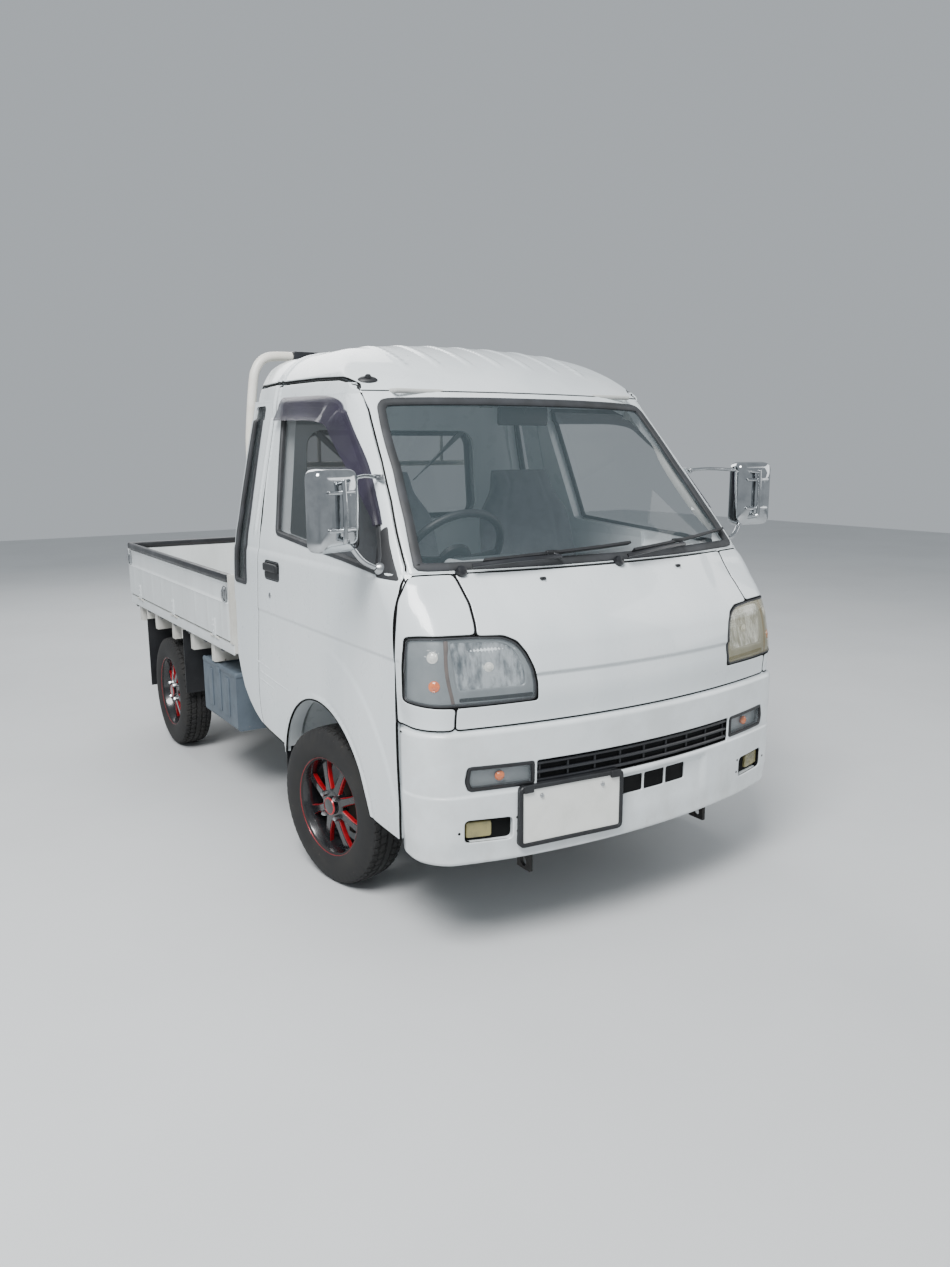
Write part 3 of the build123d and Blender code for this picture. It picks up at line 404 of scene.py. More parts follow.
    def pair(
        self,
        name: str,
        material: bpy.types.Material,
        bodies: tuple[str, str] = ("truck", "truck"),
        crease: float = CREASE,
    ) -> tuple[bpy.types.Object, bpy.types.Object]:
        """Makes a piece on the left and its mirror image on the right, on the two bodies."""
        left = self.piece(name + "_left", material, bodies[0], crease)
        return left, self.mirrored().piece(name + "_right", material, bodies[1], crease)


def lathe(profile: Sequence[Sequence[float]], segments: int = 48) -> Shell:
    """Turns (along, radius) points about X: x = along, y = r cos(a), z = r sin(a)."""
    p = np.asarray(profile, float)
    a = np.linspace(0, 2 * np.pi, segments, endpoint=False)
    ring = np.stack([np.zeros_like(a), np.cos(a), np.sin(a)], 1)
    grid = p[:, 1][:, None, None] * ring[None] + p[:, 0][:, None, None] * np.array([1.0, 0, 0])
    return Shell().grid(grid, around=True)


def aim(direction: Sequence[float]) -> np.ndarray:
    """A rotation matrix that turns +X to the direction."""
    d = np.asarray(direction, float)
    d = d / np.linalg.norm(d)
    side = np.cross([0.0, 0.0, 1.0], d)
    if np.linalg.norm(side) < 1e-6:
        side = np.array([0.0, 1.0, 0.0])
    side /= np.linalg.norm(side)
    return np.stack([d, side, np.cross(d, side)], 1)


def turned(profile: Sequence[Sequence[float]], at: Sequence[float], axis: Sequence[float], segments: int = 32) -> Shell:
    """A lathe form set at a point with its axis along a direction."""
    return lathe(profile, segments).moved(aim(axis), at)


def tube(path: Sequence[Sequence[float]], radius: float, sides: int = 14, closed: bool = False) -> Shell:
    """A round bar along a path: centre + r (cos(a) side + sin(a) up), with domed ends."""
    p = np.asarray(path, float)
    t, side, up = tangent_frames(p, closed)
    a = np.linspace(0, 2 * np.pi, sides, endpoint=False)
    rim = np.cos(a)[None, :, None] * side[:, None, :] + np.sin(a)[None, :, None] * up[:, None, :]
    grid = p[:, None, :] + radius * rim
    if closed:
        return Shell().grid(grid, around=True, along=True)
    caps = []
    for end, sign in ((0, -1), (-1, 1)):
        k = np.array([0.35, 0.75, 1.0])[:, None, None]
        caps.append(p[end] + radius * np.sqrt(1 - k**2) * rim[end][None] + sign * 0.45 * k * radius * t[end])
    return Shell().grid(np.concatenate([caps[0][::-1], grid, caps[1]]), around=True)


def smooth_path(points: Sequence[Sequence[float]], steps: int = 8) -> np.ndarray:
    """Catmull-Rom curve through the points, with steps places to each run."""
    p = np.asarray(points, float)
    q = np.vstack([2 * p[0] - p[1], p, 2 * p[-1] - p[-2]])
    t = np.linspace(0, 1, steps, endpoint=False)[:, None]
    runs = [
        0.5
        * (
            2 * q[k + 1]
            + (q[k + 2] - q[k]) * t
            + (2 * q[k] - 5 * q[k + 1] + 4 * q[k + 2] - q[k + 3]) * t**2
            + (3 * q[k + 1] - q[k] - 3 * q[k + 2] + q[k + 3]) * t**3
        )
        for k in range(len(p) - 1)
    ]
    return np.vstack([*runs, p[-1:]])


def soft_box(centre: Sequence[float], size: Sequence[float], radius: float, arc: int = 4) -> Shell:
    """A box with rounded edges and corners.

    A sphere's grid is pulled apart at its three middle planes: p = sign(n) (half - r) + r n.

    Args:
        centre: its middle.
        size: its three sizes.
        radius: radius of the edges.
        arc: grid steps in a quarter turn.

    Returns:
        The closed shell.
    """
    half = np.asarray(size, float) / 2
    radius = min(radius, *(half - 0.01))
    quarter = np.linspace(0, np.pi / 2, arc + 1)
    lat = np.concatenate([quarter - np.pi / 2, quarter])
    lon = np.concatenate([quarter + k * np.pi / 2 for k in range(4)])
    la, lo = np.meshgrid(lat, lon, indexing="ij")
    n = np.stack([np.cos(la) * np.cos(lo), np.cos(la) * np.sin(lo), np.sin(la)], -1)
    up = np.where(np.arange(len(lat)) > arc, 1.0, -1.0)[:, None] * np.ones_like(lo)
    block = np.repeat(np.arange(4), arc + 1)
    sx = np.where((block == 0) | (block == 3), 1.0, -1.0)[None, :] * np.ones_like(la)
    sy = np.where(block < 2, 1.0, -1.0)[None, :] * np.ones_like(la)
    sign = np.stack([sx, sy, up], -1)
    p = sign * (half - radius) + radius * n
    return Shell().grid(p + np.asarray(centre, float), around=True)


def plate(
    outline: np.ndarray,
    plane: tuple[Sequence[float], Sequence[float], Sequence[float]],
    depth: float,
    edge: float,
) -> Shell:
    """A flat plate with a rounded front edge.

    Args:
        outline: counter-clockwise points (u, v) of its face.
        plane: origin, u direction and v direction; the face looks along u x v.
        depth: thickness behind the face.
        edge: radius of the front edge.

    Returns:
        The closed shell.
    """
    origin, u, v = (np.asarray(x, float) for x in plane)
    n = np.cross(u, v)
    inward = inward_normals(outline)
    angles = np.radians([90, 60, 30, 0])
    rings = [outline + inward * edge * (1 - np.cos(a)) for a in angles]
    depths = [edge * (1 - np.sin(a)) for a in angles] + [depth]
    rings.append(outline)
    place = [origin + r[:, :1] * u + r[:, 1:] * v - n * d for r, d in zip(rings, depths)]
    shell = Shell().grid(np.stack(place)[::-1], around=True)
    return shell.fan(place[0]).fan(place[-1], flip=True)


def sweep(
    path: np.ndarray, section: Sequence[Sequence[float]], out: Union[np.ndarray, Sequence[float]], closed: bool = True
) -> Shell:
    """Carries a section along a path: centre + a * across + b * out, with across = out x tangent.

    Args:
        path: (n, 3) places.
        section: its points (a, b), in order.
        out: one direction for all places, or one for each.
        closed: whether the path closes on itself; an open one gets end faces.

    Returns:
        The swept shell.
    """
    s = np.asarray(section, float)
    t = tangents(path, closed)
    out = np.broadcast_to(np.asarray(out, float), path.shape)
    out = unit(out - (out * t).sum(1)[:, None] * t)
    across = np.cross(out, t)
    grid = path[:, None, :] + s[None, :, :1] * across[:, None, :] + s[None, :, 1:] * out[:, None, :]
    shell = Shell().grid(grid, around=True, along=closed)
    return shell if closed else shell.fan(grid[0], flip=True).fan(grid[-1])


def moulding(path: np.ndarray, section: Sequence[Sequence[float]], out: np.ndarray) -> Shell:
    """A closed sweep whose faces look away from its path."""
    shell = sweep(path, section, out)
    shell.look_from(0, np.repeat(path, len(section), 0)[shell.faces[0][:, 0]])
    return shell


# ---------------------------------------------------------------- the cab's smooth form


class Look(Enum):
    """The direction from which a skin's outline is read."""

    RADIAL = "from an upright axis in the cab"
    SIDE = "from the left side"
    CROWN = "from a level line in the cab"
    BACK = "from behind"


@dataclass(frozen=True)
class CabForm:
    """The cab's outer surface as a field that is 0 on it, negative inside, about 1 per millimetre."""

    # The nose: heights of its knots, how far back it lies there, and the radius of its plan's corners. Its fourth
    # knot is the cowl and its last one the screen's head, and between the third and the last it leans back
    levels: tuple[float, ...] = (275, 700, 925, 1130, 1655)
    setback: tuple[float, ...] = (24, 19, 52, 197, 637)
    corner: tuple[float, ...] = (120, 125, 125, 105, 80)
    rake: float = 1.28
    rear_radius: float = 55.0
    # The sides: heights of their knots, and the half width there
    half_levels: tuple[float, ...] = (275, 700, 925, 1130, 1230, 1655, 1700, 1790)
    half: tuple[float, ...] = (716, 730, 728, 718, 699.5, 612, 602, 582)
    corner_share: float = 0.69
    # The roof: the arc from the screen's head to its top as (setback, z), and the one from the sides as (x, z)
    crown_arc: tuple = ((637, 1655), (865.6, 1787.5), (1290, 1862))
    eave_arc: tuple = ((602, 1700), (545, 1782), (430, 1832))
    crown_setback: float = 1290.0
    roof_z: float = 1862.0
    # The upright axis and the level line from which the skins are unrolled, with the radius for each
    axis_y: float = fa(350)
    unroll: float = 900.0
    crown_z: float = 1250.0
    crown_unroll: float = 560.0
    # How far the skins lie outside the plain form
    proud: float = 1.6

    def detail(self, p: np.ndarray) -> np.ndarray:
        """How far pressed details stand out of the plain form.

        Side: a shoulder under the windows, a step along the door, the wheel arch's flare and lip. Nose: a step
        between the lamps, a raised middle, the bumper's ledge and its intake recess. Roof: its lengthwise beads,
        and two bands behind the doors.
        """
        x, y, z = np.abs(p[:, 0]), p[:, 1] - FRONT_AXLE_Y, p[:, 2]
        side = smooth((y + 620) / 50) * (z < 1690)
        d = 4.5 * side * smooth((1124 - z) / 20) * smooth((z - 905) / 150)
        d += 3.5 * side * smooth((z - 891) / 5) * smooth((1040 - z) / 130) * smooth((y + 620) / 60)
        r = np.hypot(y + 22, z - 305)
        d += 4.0 * side * smooth((560 - r) / 26) * smooth((-40 - y) / 160) * smooth((r - 350) / 40)
        d += 4.5 * side * smooth((368 - r) / 12) * (z < 880)
        front = smooth((-560 - y) / 30)
        d += front * 5.0 * smooth((z - 846) / 5) * smooth((1010 - z) / 150) * smooth((440 - x) / 40)
        d += front * 4.0 * smooth((420 + 0.3 * (z - 970) - x) / 70) * smooth((z - 900) / 120)
        foot = 13.0 * smooth((812 - z) / 100)
        ledge = 5.0 - 4.0 * smooth((521 - z) / 7) * smooth((z - 330) / 60)
        recess = 11.0 * smooth((284 - x) / 34) * smooth((508 - z) / 16) * smooth((z - 336) / 120)
        d -= front * np.where(z > 706.5, foot, ledge + recess)
        roof = smooth((z - 1700) / 60)
        across = np.abs((x + 62.5) % 125 - 62.5)
        d += 3.6 * roof * smooth((20 - across) / 14) * (x < 460) * smooth((y + 60) / 70) * smooth((380 - y) / 160)
        for start in (506, 548):
            d += 4.5 * smooth((y - start) / 9) * smooth((start + 30 - y) / 9) * smooth((z - 1150) / 60)
        return d

    def field(self, p: np.ndarray, inset: float = 0.0) -> np.ndarray:
        """Field value at each place.

        The plan is the bow of the nose met by the sides and the back with rounded corners. The roof is the larger
        of its lengthwise and its crosswise curve, and both are blended into the plan.

        Args:
            p: (n, 3) places.
            inset: moves the surface inwards by this much.

        Returns:
            (n,) values.
        """
        x, y, z = np.abs(p[:, 0]), p[:, 1], p[:, 2]
        shoulder, head = self.levels[2], self.levels[-1]
        nose = NOSE_Y + monotone(np.minimum(z, head), self.levels, self.setback)
        r = np.hypot(x, y - BOW_AXIS_Y)
        front = r - (BOW_AXIS_Y - nose)
        slope = np.where((z > shoulder) & (z < head), self.rake, 1.0)
        side = x - monotone(z, self.half_levels, self.half)
        plan = rounded_both(front / slope, side, self.corner_share * monotone(z, self.levels, self.corner))
        plan = rounded_both(plan, y - CAB_REAR_Y, self.rear_radius)
        middle, radius = circle_through(np.array(self.crown_arc, float))
        s = BOW_AXIS_Y - r - NOSE_Y
        arc = np.hypot(s - middle[0], z - middle[1]) - radius
        crown = z - (self.roof_z - 12 * np.clip((s - self.crown_setback) / 1159, 0, 1))
        profile = np.where(s < self.crown_setback, arc, crown)
        middle, radius = circle_through(np.array(self.eave_arc, float))
        bulge = np.hypot(x - middle[0], z - middle[1]) - radius
        eave = self.eave_arc[-1][0]
        flat = z - (1866 - 34 * (x / eave) ** 2)
        cross = np.where(x > eave, np.where((x > middle[0]) | (z > middle[1]), bulge, -60.0), flat)
        reach = 8 + 62 * smooth((y - CAB_REAR_Y + 240) / 200)
        top = soft_max(profile, cross, np.full_like(reach, 18.0))
        value = soft_max(plan, np.where(z > 1600, top, -400.0), reach)
        return value - self.detail(p) + inset - self.proud

    def normals(self, p: np.ndarray, inset: float = 0.0) -> np.ndarray:
        """Unit gradient of the field, by central differences of 1 mm."""
        steps = np.eye(3)
        g = np.stack([self.field(p + s, inset) - self.field(p - s, inset) for s in steps], 1)
        return unit(g)

    def to_plane(self, p: np.ndarray, look: Look) -> np.ndarray:
        """Flat coordinates of places: (unrolled angle, z), (y, z), (unrolled angle, y) or (x, z)."""
        if look is Look.RADIAL:
            return np.stack([np.arctan2(p[:, 0], self.axis_y - p[:, 1]) * self.unroll, p[:, 2]], 1)
        if look is Look.CROWN:
            return np.stack([np.arctan2(p[:, 0], p[:, 2] - self.crown_z) * self.crown_unroll, p[:, 1]], 1)
        return p[:, 1:] if look is Look.SIDE else p[:, ::2]

    def place(self, uv: np.ndarray, look: Look, inset: float = 0.0) -> np.ndarray:
        """Places on the surface seen at flat coordinates.

        Args:
            uv: (n, 2) flat coordinates.
            look: how they are read.
            inset: moves the surface inwards.

        Returns:
            (n, 3) places.
        """
        n = len(uv)
        if look is Look.RADIAL:
            a = uv[:, 0] / self.unroll
            out = np.stack([np.sin(a), -np.cos(a), np.zeros(n)], 1)
            base = np.stack([np.zeros(n), np.full(n, self.axis_y), uv[:, 1]], 1)
            near, far = base + out * 1700, base + out * 60
        elif look is Look.SIDE:
            near = np.stack([np.full(n, 850.0), uv[:, 0], uv[:, 1]], 1)
            far = near * (0, 1, 1) + (300, 0, 0)
        elif look is Look.CROWN:
            a = uv[:, 0] / self.crown_unroll
            out = np.stack([np.sin(a), np.zeros(n), np.cos(a)], 1)
            base = np.stack([np.zeros(n), uv[:, 1], np.full(n, self.crown_z)], 1)
            near, far = base + out * 900, base + out * 150
        else:
            near = np.stack([uv[:, 0], np.full(n, 60.0), uv[:, 1]], 1)
            far = near * (1, 0, 1) + (0, -400, 0)
        return self.hit(near, far, inset)

    def hit(self, near: np.ndarray, far: np.ndarray, inset: float) -> np.ndarray:
        """Where runs from outside to inside meet the surface, by halving each run again and again."""
        lo, hi = np.zeros(len(near)), np.ones(len(near))
        for _ in range(HALVINGS):
            mid = (lo + hi) / 2
            clear = self.field(near + (far - near) * mid[:, None], inset) > 0
            lo, hi = np.where(clear, mid, lo), np.where(clear, hi, mid)
        return near + (far - near) * hi[:, None]

    def skin(
        self,
        outline: np.ndarray,
        look: Look,
        holes: Sequence[np.ndarray] = (),
        pitch: float = 20.0,
        edge: float = 2.5,
        flange: float = 11.0,
        inset: float = 0.0,
        hole_flange: Optional[float] = None,
        hole_edge: Optional[float] = None,
    ) -> Shell:
        """A panel of the surface with rolled edges.

        The panel's inside is a triangulated grid on the surface, and along each outline rows of quads turn it
        inwards on a quarter circle and run down a flange.

        Args:
            outline: counter-clockwise flat coordinates of the panel's edge.
            look: how they are read.
            holes: outlines of its openings, counter-clockwise.
            pitch: spacing of the grid.
            edge: radius of the rolled edge.
            flange: depth of the turned-in edge.
            inset: moves the surface inwards.
            hole_flange: depth at the openings, if it differs.
            hole_edge: radius of the rolled edge at the openings, if it differs.

        Returns:
            The panel, with shading normals from the field.
        """
        loops = [outline, *holes]
        signs = [1.0] + [-1.0] * len(holes)
        radii = [edge] + [edge if hole_edge is None else hole_edge] * len(holes)
        inner = [lp + inward_normals(lp) * radius * s for lp, s, radius in zip(loops, signs, radii)]
        lo, hi = outline.min(0), outline.max(0)
        gx, gy = np.meshgrid(np.arange(lo[0] + 3, hi[0], pitch), np.arange(lo[1] + 3, hi[1], pitch))
        gx = gx + (np.arange(gx.shape[0]) % 2)[:, None] * pitch / 2
        grid = np.stack([gx.ravel(), gy.ravel()], 1)
        keep = inside_loop(grid, inner[0]) & (away_from(grid, inner[0]) > pitch * 0.5)
        for lp in inner[1:]:
            keep &= ~inside_loop(grid, lp) & (away_from(grid, lp) > pitch * 0.5)
        flat = np.concatenate([*inner, grid[keep]])
        edges, start = [], 0
        for lp in inner:
            k = np.arange(len(lp))
            edges += np.stack([start + k, start + (k + 1) % len(lp)], 1).tolist()
            start += len(lp)
        made = geometry.delaunay_2d_cdt([Vector(q) for q in flat.tolist()], edges, [], 0, 1e-4)
        uv = np.array([tuple(q) for q in made[0]])
        tris = np.array([f for f in made[2] if len(f) == 3], np.int64)
        mid = uv[tris].mean(1)
        keep = inside_loop(mid, inner[0])
        for lp in inner[1:]:
            keep &= ~inside_loop(mid, lp)
        tris = tris[keep]
        p = self.place(uv, look, inset)
        n = self.normals(p, inset)
        a, b, c = p[tris[:, 0]], p[tris[:, 1]], p[tris[:, 2]]
        turned_round = (np.cross(b - a, c - a) * n[tris[:, 0]]).sum(1) < 0
        tris[turned_round] = tris[turned_round][:, ::-1]
        shell = Shell().add(p, tris, n)
        for lp, sign, radius in zip(loops, signs, radii):
            depth = flange if sign > 0 or hole_flange is None else hole_flange
            shell.merge(self.rolled(lp, sign, look, radius, depth, inset))
        return shell

    def rolled(
        self, loop: np.ndarray, sign: float, look: Look, edge: float, flange: float, inset: float
    ) -> Shell:
        """The rolled edge and flange along an outline; sign is 1 at the outside and -1 at a hole."""
        inward = inward_normals(loop) * sign
        angles = np.radians([0, 30, 60, 90])
        rows, shade = [], []
        for a in angles:
            flat = loop + inward * edge * (1 - np.sin(a))
            base = self.place(flat, look, inset)
            normal = self.normals(base, inset)
            rows.append(base - normal * edge * (1 - np.cos(a)))
            shade.append((a, normal))
        rows.append(rows[-1] - shade[-1][1] * flange)
        grid = np.stack(rows)
        outward, normal = grid[-2] - grid[0], shade[0][1]
        outward = unit(outward - (outward * normal).sum(1)[:, None] * normal)
        normals = np.stack([np.cos(a) * nm + np.sin(a) * outward for a, nm in shade] + [outward], 0)
        made = Shell().grid(grid, around=True)
        p, f = made.points[0], made.faces[0]
        face_n = np.cross(p[f[:, 1]] - p[f[:, 0]], p[f[:, 2]] - p[f[:, 0]])
        if (face_n * normals.reshape(-1, 3)[f[:, 0]]).sum() < 0:
            made.faces[0] = f[:, ::-1]
        made.normals[0] = normals.reshape(-1, 3)
        return made

    def ring(self, loop: np.ndarray, look: Look, section: Sequence[Sequence[float]], inset: float = 0.0) -> Shell:
        """A moulding along an outline on the surface: section points are (across, out of the surface)."""
        path = self.place(loop, look, inset)
        return moulding(path, section, self.normals(path, inset))


CAB = CabForm()


def on_front(rows: Sequence[Sequence[float]], inset: float = 0.0) -> np.ndarray:
    """Places of the cab's form seen from the front at (x, z)."""
    xz = np.asarray(rows, float)
    near = np.stack([xz[:, 0], np.full(len(xz), -1900.0), xz[:, 1]], 1)
    return CAB.hit(near, near * (1, 0, 1) + (0, -500.0, 0), inset)


def on_side(rows: Sequence[Sequence[float]], inset: float = 0.0) -> np.ndarray:
    """Places on the left side at (distance back from the front axle, z)."""
    yz = np.asarray(rows, float) + (FRONT_AXLE_Y, 0.0)
    return CAB.place(yz, Look.SIDE, inset)


def seen_radially(*runs: np.ndarray) -> np.ndarray:
    """Unrolled coordinates of runs of places on the cab."""
    return CAB.to_plane(np.concatenate(runs), Look.RADIAL)


def mirrored_loop(loop: np.ndarray) -> np.ndarray:
    """An unrolled loop on the other side of the truck, counter-clockwise again."""
    return (loop * (-1, 1))[::-1]


# ---------------------------------------------------------------- materials


def linear(code: str) -> tuple[float, float, float, float]:
    """A colour for Blender from its sRGB hex code."""
    c = np.array([int(code[k : k + 2], 16) for k in (1, 3, 5)]) / 255
    c = np.where(c <= 0.04045, c / 12.92, ((c + 0.055) / 1.055) ** 2.4)
    return (*c.tolist(), 1.0)


def add_node(
    tree: bpy.types.NodeTree, kind: str, inputs: Optional[dict] = None, settings: Optional[dict] = None
) -> bpy.types.Node:
    """Adds a shader node.

    Args:
        tree: the material's node tree.
        kind: node type, without its ShaderNode prefix.
        inputs: values or sockets for its inputs, by name or number.
        settings: attributes of the node.

    Returns:
        The node.
    """
    node = tree.nodes.new("ShaderNode" + kind)
    for key, value in (settings or {}).items():
        setattr(node, key, value)
    for key, value in (inputs or {}).items():
        if isinstance(value, bpy.types.NodeSocket):
            tree.links.new(value, node.inputs[key])
        else:
            node.inputs[key].default_value = value
    return node


# A colour that is either one value or comes from other nodes
Tone = Union[bpy.types.NodeSocket, tuple[float, float, float, float]]


@dataclass(frozen=True)
class Finish:
    """A finish with a base tone, clouds of a second tone, specks of a third, streaks, road dust and grain.

    Scales are spots per metre, and bumps are in millimetres. A streak below 1 draws clouds and specks out along Z,
    and dust fades from the ground to the height dust_top in metres.
    """

    name: str
    base: str
    cloud: str = ""
    cloud_scale: float = 4.0
    speck: str = ""
    speck_scale: float = 60.0
    speck_from: float = 0.66
    speck_soft: float = 0.05
    streak: float = 1.0
    dust: str = ""
    dust_top: float = 0.0
    dust_share: float = 0.35
    rough: float = 0.5
    rough_spread: float = 0.1
    metal: float = 0.0
    coat: float = 0.0
    coat_rough: float = 0.08
    specular: float = 0.5
    sheen: float = 0.0
    grain_scale: float = 0.0
    grain_mm: float = 0.1
    wave_scale: float = 0.0
    wave_mm: float = 0.4
    weave: float = 0.0
    alpha: float = 1.0

    def make(self) -> bpy.types.Material:
        """Builds the node material.

        Returns:
            The material, named after the real one.
        """
        material = bpy.data.materials.new(self.name)
        material.use_nodes = True
        tree = material.node_tree
        tree.nodes.clear()
        place = add_node(tree, "TexCoord").outputs["Object"]
        inputs = {
            "Base Color": self.tones(tree, place),
            "Roughness": self.gloss(tree, place),
            "Metallic": self.metal,
            "Coat Weight": self.coat,
            "Coat Roughness": self.coat_rough,
            "Specular IOR Level": self.specular,
            "IOR": 1.5,
            "Sheen Weight": self.sheen,
            "Alpha": self.alpha,
        }
        shader = add_node(tree, "BsdfPrincipled", inputs)
        self.relief(tree, place, shader)
        add_node(tree, "OutputMaterial", {"Surface": shader.outputs[0]})
        return material

    def noise(
        self, tree: bpy.types.NodeTree, place: bpy.types.NodeSocket, scale: float, squeeze: float, detail: float
    ) -> bpy.types.NodeSocket:
        """Noise of a scale in spots per metre, drawn out along Z where squeeze is below 1."""
        mapped = add_node(tree, "Mapping", {"Vector": place, "Scale": (1.0, 1.0, squeeze)}).outputs[0]
        inputs = {"Vector": mapped, "Scale": scale, "Detail": detail, "Roughness": 0.6}
        return add_node(tree, "TexNoise", inputs).outputs["Fac"]

    def bands(
        self, tree: bpy.types.NodeTree, place: bpy.types.NodeSocket, scale: float, axis: str, distortion: float
    ) -> bpy.types.NodeSocket:
        """Parallel waves along an axis."""
        inputs = {"Vector": place, "Scale": scale, "Distortion": distortion, "Detail": 1.0}
        settings = {"wave_type": "BANDS", "bands_direction": axis}
        return add_node(tree, "TexWave", inputs, settings).outputs["Fac"]

    def step(
        self, tree: bpy.types.NodeTree, value: bpy.types.NodeSocket, low: float, high: float, top: float = 1.0
    ) -> bpy.types.NodeSocket:
        """Maps a value to 0 below low and to top above high, smoothly."""
        inputs = {"Value": value, "From Min": low, "From Max": high, "To Min": 0.0, "To Max": top}
        return add_node(tree, "MapRange", inputs, {"interpolation_type": "SMOOTHSTEP"}).outputs[0]

    def lay(
        self, tree: bpy.types.NodeTree, under: Tone, share: bpy.types.NodeSocket, colour: str
    ) -> bpy.types.NodeSocket:
        """Lays a colour over what is there by a share."""
        inputs = {"Factor": share, 6: under, 7: linear(colour)}
        return add_node(tree, "Mix", inputs, {"data_type": "RGBA"}).outputs[2]

    def tones(self, tree: bpy.types.NodeTree, place: bpy.types.NodeSocket) -> Tone:
        """The colour: base, clouds, streaked specks and dust that fades with height."""
        tone = linear(self.base)
        if self.cloud:
            share = self.step(tree, self.noise(tree, place, self.cloud_scale, self.streak, 4.0), 0.35, 0.75)
            tone = self.lay(tree, tone, share, self.cloud)
        if self.speck:
            spots = self.noise(tree, place, self.speck_scale, self.streak, 6.0)
            share = self.step(tree, spots, self.speck_from, self.speck_from + self.speck_soft)
            tone = self.lay(tree, tone, share, self.speck)
        if self.dust:
            height = add_node(tree, "SeparateXYZ", {0: place}).outputs[2]
            low = self.step(tree, height, self.dust_top, 0.1, self.dust_share)
            cloud = self.step(tree, self.noise(tree, place, 14.0, 0.35, 6.0), 0.3, 0.75)
            share = add_node(tree, "Math", {0: low, 1: cloud}, {"operation": "MULTIPLY"}).outputs[0]
            tone = self.lay(tree, tone, share, self.dust)
        return tone

    def gloss(self, tree: bpy.types.NodeTree, place: bpy.types.NodeSocket) -> bpy.types.NodeSocket:
        """Roughness that wanders about its middle value."""
        inputs = {
            "Value": self.noise(tree, place, 9.0, 1.0, 5.0),
            "From Min": 0.3,
            "From Max": 0.7,
            "To Min": max(0.02, self.rough - self.rough_spread),
            "To Max": min(1.0, self.rough + self.rough_spread),
        }
        return add_node(tree, "MapRange", inputs).outputs[0]

    def relief(self, tree: bpy.types.NodeTree, place: bpy.types.NodeSocket, shader: bpy.types.Node) -> None:
        """Grain, weave and fluting as bumps, each laid on the one before."""
        heights = []
        if self.grain_scale:
            heights.append((self.noise(tree, place, self.grain_scale, 1.0, 3.0), self.grain_mm))
        if self.weave:
            for axis in ("X", "Z"):
                heights.append((self.bands(tree, place, self.weave, axis, 0.4), 0.25))
        if self.wave_scale:
            heights.append((self.bands(tree, place, self.wave_scale, "X", 0.0), self.wave_mm))
        below = {}
        for height, depth in heights:
            inputs = {"Height": height, "Strength": 1.0, "Distance": depth * MM, **below}
            below = {"Normal": add_node(tree, "Bump", inputs).outputs[0]}
        if below:
            tree.links.new(below["Normal"], shader.inputs["Normal"])


